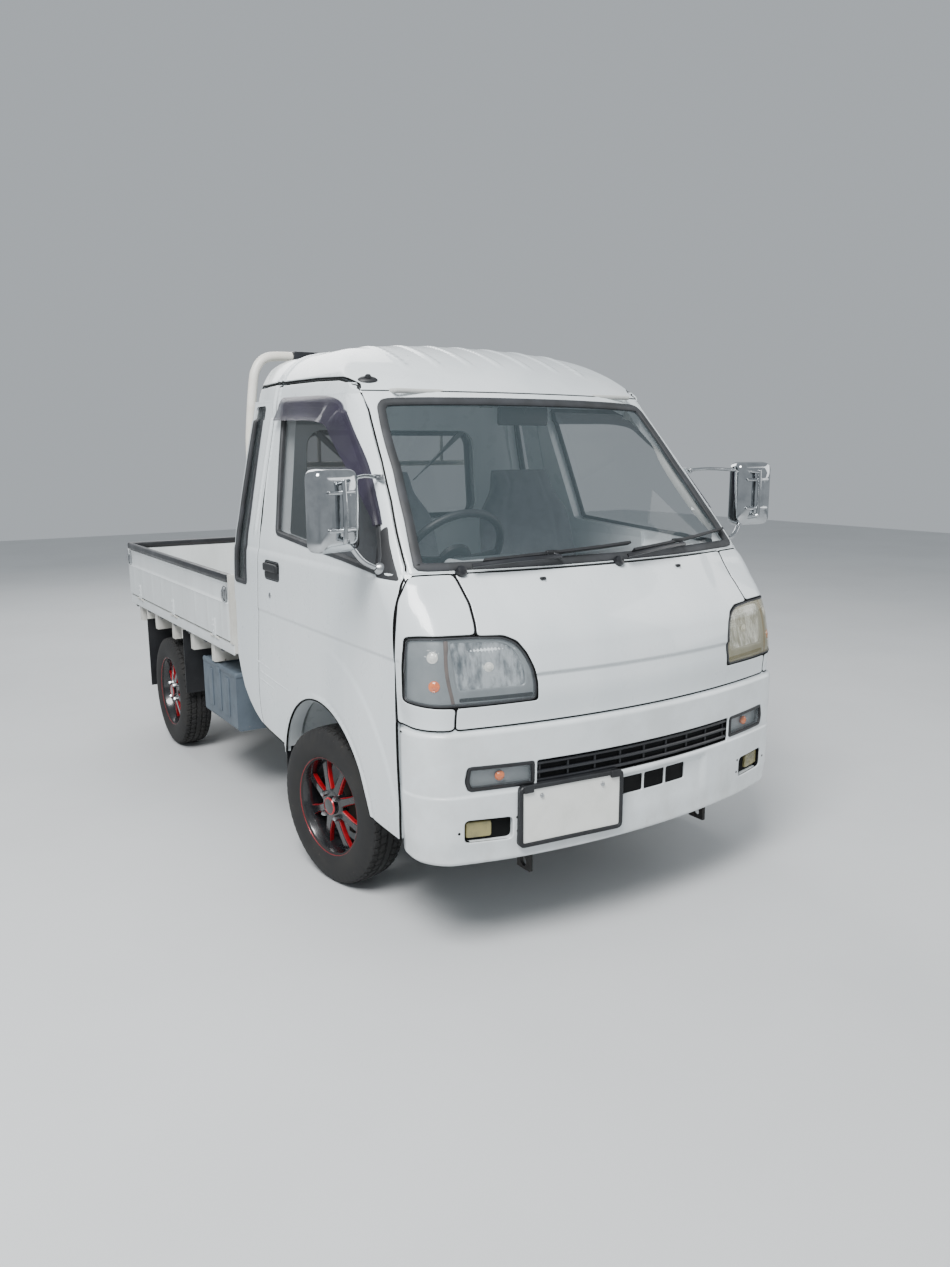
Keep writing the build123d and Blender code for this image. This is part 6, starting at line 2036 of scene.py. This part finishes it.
@dataclass
class Bed:
    """Drop sides, tailgate, floor, guard, flaps, tank, box and rear lamps."""

    finishes: Finishes
    side_front: float = 15.0
    side_rear: float = 1652.0
    hinge_shares: tuple[float, ...] = (0.12, 0.5, 0.88)

    def set_side(self, shell: Shell, side: int) -> Shell:
        """Sets a gate's drawing on the truck's side: u along Y, w outwards."""
        middle = (self.side_front + self.side_rear) / 2
        turn = np.array([[0.0, side, 0.0], [1.0, 0.0, 0.0], [0.0, 0.0, 1.0]])
        return shell.moved(turn, (side * GATE_OUTER_X, middle, 0))

    def gates(self) -> None:
        """The three gates with rails and hinges, and the side gates' latches."""
        length = self.side_rear - self.side_front
        gate = Gate(length)
        metal = Shell()
        for share in self.hinge_shares:
            metal.merge(gate.hinge((share - 0.5) * length))
        latch = self.latch(-length / 2 + 26)
        latch.merge(self.latch(length / 2 - 26))
        for side, tail in ((RIGHT, "right"), (LEFT, "left")):
            body = "gate_" + tail
            piece = self.set_side(gate.panel(), side).piece("gate_panel_" + tail, self.finishes.bed, body)
            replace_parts(piece, "side_gate_" + tail)
            self.set_side(gate.rail(), side).piece("gate_rail_" + tail, self.finishes.black, body)
            self.set_side(metal, side).piece("gate_hinges_" + tail, self.finishes.bed, body)
            self.set_side(latch, side).piece("gate_latches_" + tail, self.finishes.stay, body)
        tail_gate = Gate(2 * GATE_OUTER_X - 8, ribs=8)
        turn = np.array([[-1.0, 0, 0], [0, 1.0, 0], [0, 0, 1.0]])
        at = (0, GATE_REAR_Y, 0)
        piece = tail_gate.panel().moved(turn, at).piece("gate_panel_rear", self.finishes.bed, "gate_rear")
        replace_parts(piece, "tailgate")
        tail_gate.rail().moved(turn, at).piece("gate_rail_rear", self.finishes.black, "gate_rear")
        straps = Shell()
        for u in (-520, 0, 520):
            straps.merge(tail_gate.hinge(u))
        straps.moved(turn, at).piece("gate_hinges_rear", self.finishes.bed, "gate_rear")

    def latch(self, u: float) -> Shell:
        """A lever latch near the end of a gate: base, lever and its round pin."""
        made = soft_box((u, 2.2, 905), (30, 5, 62), 2.0)
        made.merge(tube(smooth_path([(u, 6, 930), (u, 12, 915), (u, 13, 890), (u, 8, 872)], 6), 4.5, 10))
        made.merge(turned([(0, 0.1), (0, 9), (5, 8.4), (7, 5), (7.2, 0.1)], (u, 4, 925), (0, 1, 0), 18))
        return made

    def floor(self) -> None:
        """Ribbed load floor over the CAD's, and its outer sill rail with rope hooks."""
        xx, yy = np.meshgrid(np.linspace(-700, 700, 281), np.linspace(10.0, 1650.0, 24))
        wave = np.abs((xx + 50) % 100 - 50)
        ends = smooth((yy - 60) / 20) * smooth((1610 - yy) / 20)
        top = np.stack([xx, yy, 700.6 + 2.8 * smooth((22 - wave) / 8) * ends], -1)
        self.sheet(np.concatenate([top, (top * (1, 1, 0) + (0, 0, 699.2))[::-1]]), "bed_floor_sheet")
        sill = [(-22, -2), (-22, 2.0), (-16, 3.4), (16, 3.4), (21, 2), (21, -2)]
        trim, hooks = Shell(), Shell()
        for side in (LEFT, RIGHT):
            x_out = side * 724.2
            trim.merge(bar((x_out, BED_FRONT_Y + 2, 675), (x_out, GATE_REAR_Y - 10, 675), sill, (side, 0, 0)))
            for k in range(7):
                at = self.side_front + 130 + k * 238
                path = [
                    (side * 716, at - 17, 664), (side * 720, at - 17, 650), (side * 721, at, 646),
                    (side * 720, at + 17, 650), (side * 716, at + 17, 664),
                ]
                hooks.merge(tube(smooth_path(path, 5), 4.2, 10))
        for k in range(4):
            at = -480 + k * 320
            path = [
                (at - 17, GATE_REAR_Y - 9, 664), (at - 17, GATE_REAR_Y + 1, 652), (at, GATE_REAR_Y + 3, 649),
                (at + 17, GATE_REAR_Y + 1, 652), (at + 17, GATE_REAR_Y - 9, 664),
            ]
            hooks.merge(tube(smooth_path(path, 5), 4.2, 10))
        trim.piece("bed_sill_rail", self.finishes.bed)
        hooks.piece("rope_hooks", self.finishes.black)

    def sheet(self, grid: np.ndarray, name: str) -> None:
        """A closed worn sheet whose rows run over its face and back behind it."""
        made = Shell().grid(grid, along=True).fan(grid[:, 0]).fan(grid[:, -1]).outward()
        made.piece(name, self.finishes.bed_inside)

    def board(self) -> None:
        """The ribbed face of the front board."""
        half = GATE_OUTER_X - 3
        z = np.array([702, 716, 860, 872, 880, 950, 962, 984.0])
        w = np.array([0.6, 1.0, 1.0, 4.0, 1.0, 1.0, 3.2, 3.2])
        uu, zz = np.meshgrid(np.linspace(-half, half, 131), z)
        rib = (zz > 712) & (zz < 866)
        ww = w[:, None] + 3.0 * rib * smooth((10 - np.abs((uu + half) % 182 - 91)) / 7)
        outer = np.stack([uu, BED_FRONT_Y + 28 + ww * 0.9, zz], -1)
        self.sheet(np.concatenate([outer, (outer * (1, 0, 1) + (0, BED_FRONT_Y + 27.2, 0))[::-1]]), "front_board_face")

    def guard(self) -> None:
        """Guard of bent pipe with its round window bars and a black padded top bar."""
        y = 24.8
        outer = [
            (-600, y, 706.6), (-600, y, 1150), (-600, y, 1450), (-596, y, 1560), (-576, y, 1740), (-560, y, 1800),
            (-528, y, 1838), (-470, y, 1852), (-300, y, 1853), (0, y, 1853),
        ]
        left = smooth_path(outer, 6)
        path = np.concatenate([left, left[:-1][::-1] * (-1, 1, 1)])
        pipes = tube(path, 18.6, 22)
        pipes.merge(tube([(-588, y, 1420), (0, y, 1420), (588, y, 1420)], 12.0, 18))
        for x in (-300, 0, 300):
            pipes.merge(tube([(x, y, 1425), (x, y, 1848)], 8.0, 14))
        for side in (LEFT, RIGHT):
            pipes.merge(turned([(0, 0.1), (0, 25), (3.0, 25), (4.2, 19)], (side * 600, y, 706.2), (0, 0, 1), 28))
        piece = pipes.piece("guard_pipes", self.finishes.guard)
        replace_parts(piece, "guard_frame")
        soft_box((0, y, 1853), (816, 43.0, 43.0), 7.0, arc=4).piece("guard_top_bar", self.finishes.black)

    def under(self) -> None:
        """Tank straps and filler, tool box lid with its hasp, flaps' bolts, and the exhaust."""
        straps = Shell()
        loop = rounded_outline([(416, 327), (696, 327), (696, 557), (416, 557)], 42.0)
        n = inward_normals(loop)
        out = np.stack([-n[:, 0], 0 * n[:, 0], -n[:, 1]], 1)
        for y in (fa(1010), fa(1310)):
            path = np.stack([loop[:, 0], np.full(len(loop), y), loop[:, 1]], 1)
            straps.merge(sweep(path, [(-15, -0.5), (-15, 2.2), (15, 2.2), (15, -0.5)], out).outward())
        filler = [(0, 0.1), (0, 26), (12, 26), (16, 22), (16, 0.1)]
        straps.merge(turned(filler, (690, fa(1160), 520), (1, 0, 0.25), 28))
        straps.piece("tank_straps", self.finishes.frame)
        lid = soft_box((-600, fa(1120), 549), (216, 446, 26), 9.0)
        for y in (fa(1010), fa(1120), fa(1230)):
            lid.merge(soft_box((-707, y, 440), (6, 46, 170), 2.8))
        lid.merge(soft_box((-708.5, fa(1120), 532), (7, 40, 34), 3.0))
        lid.piece("tool_box_lid", self.finishes.box)
        bolts = Shell()
        bolt = [(0, 0.1), (0, 7.5), (2.5, 7), (4, 4), (4.2, 0.1)]
        for side in (LEFT, RIGHT):
            for y, facing in ((738.2, -1), (1396.8, 1)):
                for dx in (-48, 0, 48):
                    bolts.merge(turned(bolt, (side * 650 + dx, y + 7 * facing, 640), (0, facing, 0), 14))
        bolts.piece("flap_bolts", self.finishes.stay)
        run = [
            (150, fa(700), 330), (170, fa(1150), 320), (230, fa(1500), 360), (300, fa(1900), 470), (330, fa(2250), 430),
            (330, fa(2470), 400),
        ]
        exhaust = tube(smooth_path(run), 19.0, 18)
        can = lathe([(-190, 20), (-180, 52), (-165, 62), (165, 62), (180, 52), (190, 20)], 36)
        exhaust.merge(can.moved(aim((0.12, 1, 0.05)), (160, fa(930), 326)))
        exhaust.piece("exhaust", self.finishes.cast)

    def rear_lamps(self, box: tuple) -> None:
        """Red, amber and clear lenses on black trays, and the blank rear plate on its bracket."""
        y, top = np.asarray(box[1], float)[1:] / MM
        trays, red, amber, clear = Shell(), Shell(), Shell(), Shell()
        for side in (LEFT, RIGHT):
            x = side * 560
            trays.merge(soft_box((x, y - 22, top - 55), (220, 42, 110), 7.0))
            for lens, offset in ((red, 70), (amber, 0), (clear, -70)):
                lens.merge(soft_box((x + side * offset, y - 1, top - 55), (66, 11, 92), 4.5))
        trays.merge(soft_box((0, y - 8, top - 82), (342, 8, 158), 3.0))
        bolts = Shell()
        for x in PLATE_BOLTS:
            bolts.merge(turned(BOLT_HEAD, (x, y - 2, top - 40), (0, 1, 0), 16))
        bolts.piece("rear_plate_bolts", self.finishes.stay)
        blank = soft_box((0, y - 3, top - 82), (330, 3, 150), 1.2)
        blank.piece("rear_plate_blank", self.finishes.plate)
        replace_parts(trays.piece("rear_lamp_trays", self.finishes.trim), "rear_lamps")
        red.piece("rear_red_lenses", self.finishes.red_lens)
        amber.piece("rear_amber_lenses", self.finishes.amber)
        clear.piece("rear_clear_lenses", self.finishes.fog)

    def build(self, lamp_box: tuple) -> None:
        """Makes every piece of the bed."""
        self.gates()
        self.floor()
        self.board()
        self.guard()
        self.under()
        self.rear_lamps(lamp_box)


@dataclass
class Interior:
    """Seats, steering wheel, dash top, room mirror and sun visors."""

    finishes: Finishes
    seat_x: float = 330.0

    def cushion(self, path: np.ndarray, half: np.ndarray, thick: np.ndarray, crown: float) -> Shell:
        """A padded form along a line in the side view, crowned on its face, with two sewn channels.

        Across, the face is w (1 - |s|^4) with two grooves at s = +-0.56, and both sides pull in.

        Args:
            path: (n, 2) places (y, z) along the middle of the pad.
            half: half width at each.
            thick: half thickness at each.
            crown: how far the face stands up.

        Returns:
            The closed pad.
        """
        face = left_of(path)
        turn = np.linspace(0, 2 * np.pi, 96, endpoint=False)
        s = np.sign(np.cos(turn)) * np.abs(np.cos(turn)) ** 0.45
        t = np.sign(np.sin(turn)) * np.abs(np.sin(turn)) ** 0.6
        groove = 6.0 * np.exp(-(((np.abs(s) - 0.56) / 0.035) ** 2)) * (t > 0.2)
        middle = (t > 0.2) * (np.abs(s) < 0.56)
        dome = (1 - np.abs(s) ** 4) * (t > 0) * np.abs(t)
        rows = []
        last = len(path) - 1
        for k in range(len(path)):
            end = min(k, last - k)
            close = (0.25, 0.62, 0.84, 0.95, 1.0)[min(end, 4)]
            cross = 4.0 * (k % 9 == 4) if 6 < k < last - 6 else 0.0
            lift = t * thick[k] * close + crown * close * dome - groove - cross * middle
            x = s * half[k] * (0.93 + 0.07 * close)
            rows.append(np.stack([x, path[k, 0] + face[k, 0] * lift, path[k, 1] + face[k, 1] * lift], 1))
        grid = np.array(rows)
        return Shell().grid(grid, around=True).fan(grid[0]).fan(grid[-1]).outward_to(grid.reshape(-1, 3).mean(0))

    def seats(self) -> None:
        """Two high-back seats that stand for the plain soft solids."""
        base_run = [(fa(-322), 776), (fa(-250), 770), (fa(-100), 758), (fa(60), 752), (fa(165), 760)]
        back_run = [(fa(186), 800), (fa(206), 900), (fa(236), 1050), (fa(276), 1230), (fa(312), 1395)]
        base_line, back_line = smooth_path(base_run, 8), smooth_path(back_run, 9)
        n, share = len(base_line), np.linspace(0, 1, len(back_line))
        base = self.cushion(base_line[::-1], np.full(n, 226.0), np.full(n, 44.0), 14.0)
        width = 228.0 - 22 * smooth((share - 0.5) / 0.4) - 62 * smooth((share - 0.72) / 0.2)
        back = self.cushion(back_line, width, 40.0 - 8 * share, 12.0)
        for side, tail in ((RIGHT, "right"), (LEFT, "left")):
            for shell, part in ((base, "seat_cushion_"), (back, "seat_back_")):
                placed = shell.moved(np.eye(3), (side * self.seat_x, 0, 0))
                piece = placed.piece(part + tail, self.finishes.cloth, crease=60.0)
                smoother = piece.modifiers.new("even", "SUBSURF")
                smoother.levels = smoother.render_levels = 1
                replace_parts(piece, "seats")
            foot = soft_box((side * self.seat_x, fa(-75), 701), (440, 470, 24), 8.0)
            foot.piece("seat_frame_" + tail, self.finishes.trim)

    def steering(self) -> None:
        """Steering wheel with a thick round rim, three spokes and a plain boss."""
        centre = np.array([DRIVER_X, fa(-262), 1140.0])
        radius, grip = 178.0, 13.5
        a = np.linspace(0, 2 * np.pi, 72, endpoint=False)
        ring = np.stack([0 * a, radius * np.cos(a), radius * np.sin(a)], 1)
        wheel = tube(ring, grip, 16, closed=True)
        wheel.merge(lathe([(-34, 0.1), (-34, 46), (-26, 58), (-12, 60), (-4, 52), (0, 34), (1.5, 0.1)], 48))
        for k in (0.0, np.pi, -np.pi / 2):
            u = np.array([0.0, np.cos(k), np.sin(k)])
            path = np.array([u * 50 + (-20, 0, 0), u * 100 + (-16, 0, 0), u * (radius - 6) + (-2, 0, 0)])
            wheel.merge(sweep(path, [(-15, -5), (-13, 5), (13, 5), (15, -5)], (1, 0, 0), closed=False))
        wheel.merge(lathe([(-34, 0.1), (-34, 30), (-120, 34), (-240, 34), (-240, 0.1)], 32).outward())
        wheel.moved(aim((0.0, 0.8, 0.6)), centre).piece("steering_wheel_rim", self.finishes.trim)

    def dash(self) -> None:
        """Dash top pad with vents, instrument hood, room mirror and folded sun visors."""
        half, fall = 541.0, 21.0
        across = np.linspace(-half, half, 49)
        front = on_front(np.stack([across, np.full(49, 1136.0)], 1), 34.0)[:, 1]
        rows = []
        for x, y in zip(across, front):
            end = 6.0 * smooth((abs(x) - (half - fall)) / fall)
            section = [
                (y, 1070), (y, 1106 - end), ((y + fa(-520)) / 2, 1124 - end), (fa(-520), 1120 - end),
                (fa(-478), 1098 - end), (fa(-462), 1050), (fa(-452), 990), (fa(-470), 900), (fa(-540), 810),
                (fa(-560), 800), (y + 60, 800),
            ]
            rows.append(smooth_path([(x, *q) for q in section], 4))
        top = Shell().grid(np.array(rows), around=True)
        top = top.fan(rows[0]).fan(rows[-1], flip=True).outward()
        top.merge(soft_box((DRIVER_X, fa(-500), 1132), (300, 110, 50), 20.0))
        for x in (-480, -120, 120, 480):
            for k in range(4):
                top.merge(soft_box((x, fa(-453), 1004 + 9 * k), (92, 8, 3), 1.4))
        piece = top.piece("dash_top", self.finishes.dash)
        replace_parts(piece, "dashboard")
        head = soft_box((0, fa(-170), 1590), (210, 16, 62), 7.5)
        head.merge(tube(smooth_path([(0, fa(-176), 1600), (0, fa(-186), 1626), (0, fa(-196), 1646)], 5), 6.0, 12))
        head.merge(turned([(0, 0.1), (0, 22), (8, 20), (12, 8), (12, 0.1)], (0, fa(-204), 1648), (0, 0.6, -0.8), 24))
        head.piece("room_mirror", self.finishes.trim)
        visors = Shell()
        for x in (-330, 330):
            visors.merge(soft_box((x, fa(-90), 1664), (330, 150, 16), 7.0))
        visors.piece("sun_visors", self.finishes.liner)

    def build(self) -> None:
        """Makes every piece of the interior."""
        self.seats()
        self.steering()
        self.dash()


# ---------------------------------------------------------------- stage


def studio(finishes: Finishes) -> None:
    """Floor, soft lights and the camera at the photograph's angle."""
    size = 14.0
    mesh = bpy.data.meshes.new("studio_floor")
    corners = [(-size, -size, 0.0), (size, -size, 0.0), (size, size, 0.0), (-size, size, 0.0)]
    mesh.from_pydata(corners, [], [(0, 1, 2, 3)])
    mesh.materials.append(finishes.floor)
    floor = bpy.data.objects.new("studio_floor", mesh)
    bpy.context.scene.collection.objects.link(floor)
    world = bpy.data.worlds.new("soft_sky")
    bpy.context.scene.world = world
    world.use_nodes = True
    world.node_tree.nodes["Background"].inputs[0].default_value = linear("#DDE4EA")
    world.node_tree.nodes["Background"].inputs[1].default_value = 0.62
    for name, place, aim_at, power, width in (
        ("sky_key", (-3.6, -3.6, 6.2), (0.0, -0.4, 0.8), 820.0, 3.0),
        ("sky_fill", (5.2, -3.4, 3.2), (0.0, -0.4, 0.8), 110.0, 4.0),
        ("sky_back", (0.5, 5.2, 5.2), (0.0, 0.3, 0.8), 240.0, 4.5),
    ):
        light = bpy.data.lights.new(name, "AREA")
        light.energy, light.size = power, width
        lamp = bpy.data.objects.new(name, light)
        lamp.location = place
        lamp.rotation_euler = (Vector(aim_at) - Vector(place)).to_track_quat("-Z", "Y").to_euler()
        bpy.context.scene.collection.objects.link(lamp)
    camera_data = bpy.data.cameras.new("photo_camera")
    camera_data.sensor_fit = "VERTICAL"
    camera_data.sensor_height = SENSOR_MM
    camera_data.lens = PHOTO_FOCAL / PHOTO_HEIGHT * SENSOR_MM
    camera_data.shift_x = (PHOTO_WIDTH / 2 - PHOTO_CENTRE[0]) / PHOTO_HEIGHT
    camera_data.shift_y = (PHOTO_CENTRE[1] - PHOTO_HEIGHT / 2) / PHOTO_HEIGHT
    azimuth, elevation, roll = np.radians(CAMERA_ANGLES)
    back = np.array([np.sin(azimuth) * np.cos(elevation), -np.cos(azimuth) * np.cos(elevation), np.sin(elevation)])
    right = np.cross([0.0, 0.0, 1.0], back)
    right /= np.linalg.norm(right)
    up = np.cross(back, right)
    turn_right = np.cos(roll) * right + np.sin(roll) * up
    turn_up = np.cross(back, turn_right)
    camera = bpy.data.objects.new("photo_camera", camera_data)
    rows = [[turn_right[k], turn_up[k], back[k], CAMERA_PLACE[k]] for k in range(3)]
    camera.matrix_world = Matrix([*rows, [0, 0, 0, 1]])
    bpy.context.scene.collection.objects.link(camera)
    bpy.context.scene.camera = camera


def main() -> None:
    """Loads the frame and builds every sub-assembly on it."""
    logging.basicConfig(level=logging.INFO, format="%(name)s %(message)s")
    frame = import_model()
    finishes = Finishes()
    finishes.dress_nodes(frame["nodes"])
    Cab(finishes).build(frame["nodes"]["cab_body"])
    Doors(finishes).build()
    joints = {joint["name"]: joint for joint in frame["joints"]}
    for corner, side in (("front_right", RIGHT), ("front_left", LEFT), ("rear_right", RIGHT), ("rear_left", LEFT)):
        centre, turn = wheel_frame(joints["wheel_" + corner + "_spin"], side)
        Wheel(finishes).build(corner, centre, turn)
    Bed(finishes).build(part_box("rear_lamps"))
    Interior(finishes).build()
    studio(finishes)
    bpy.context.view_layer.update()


if __name__ == "__main__":
    main()
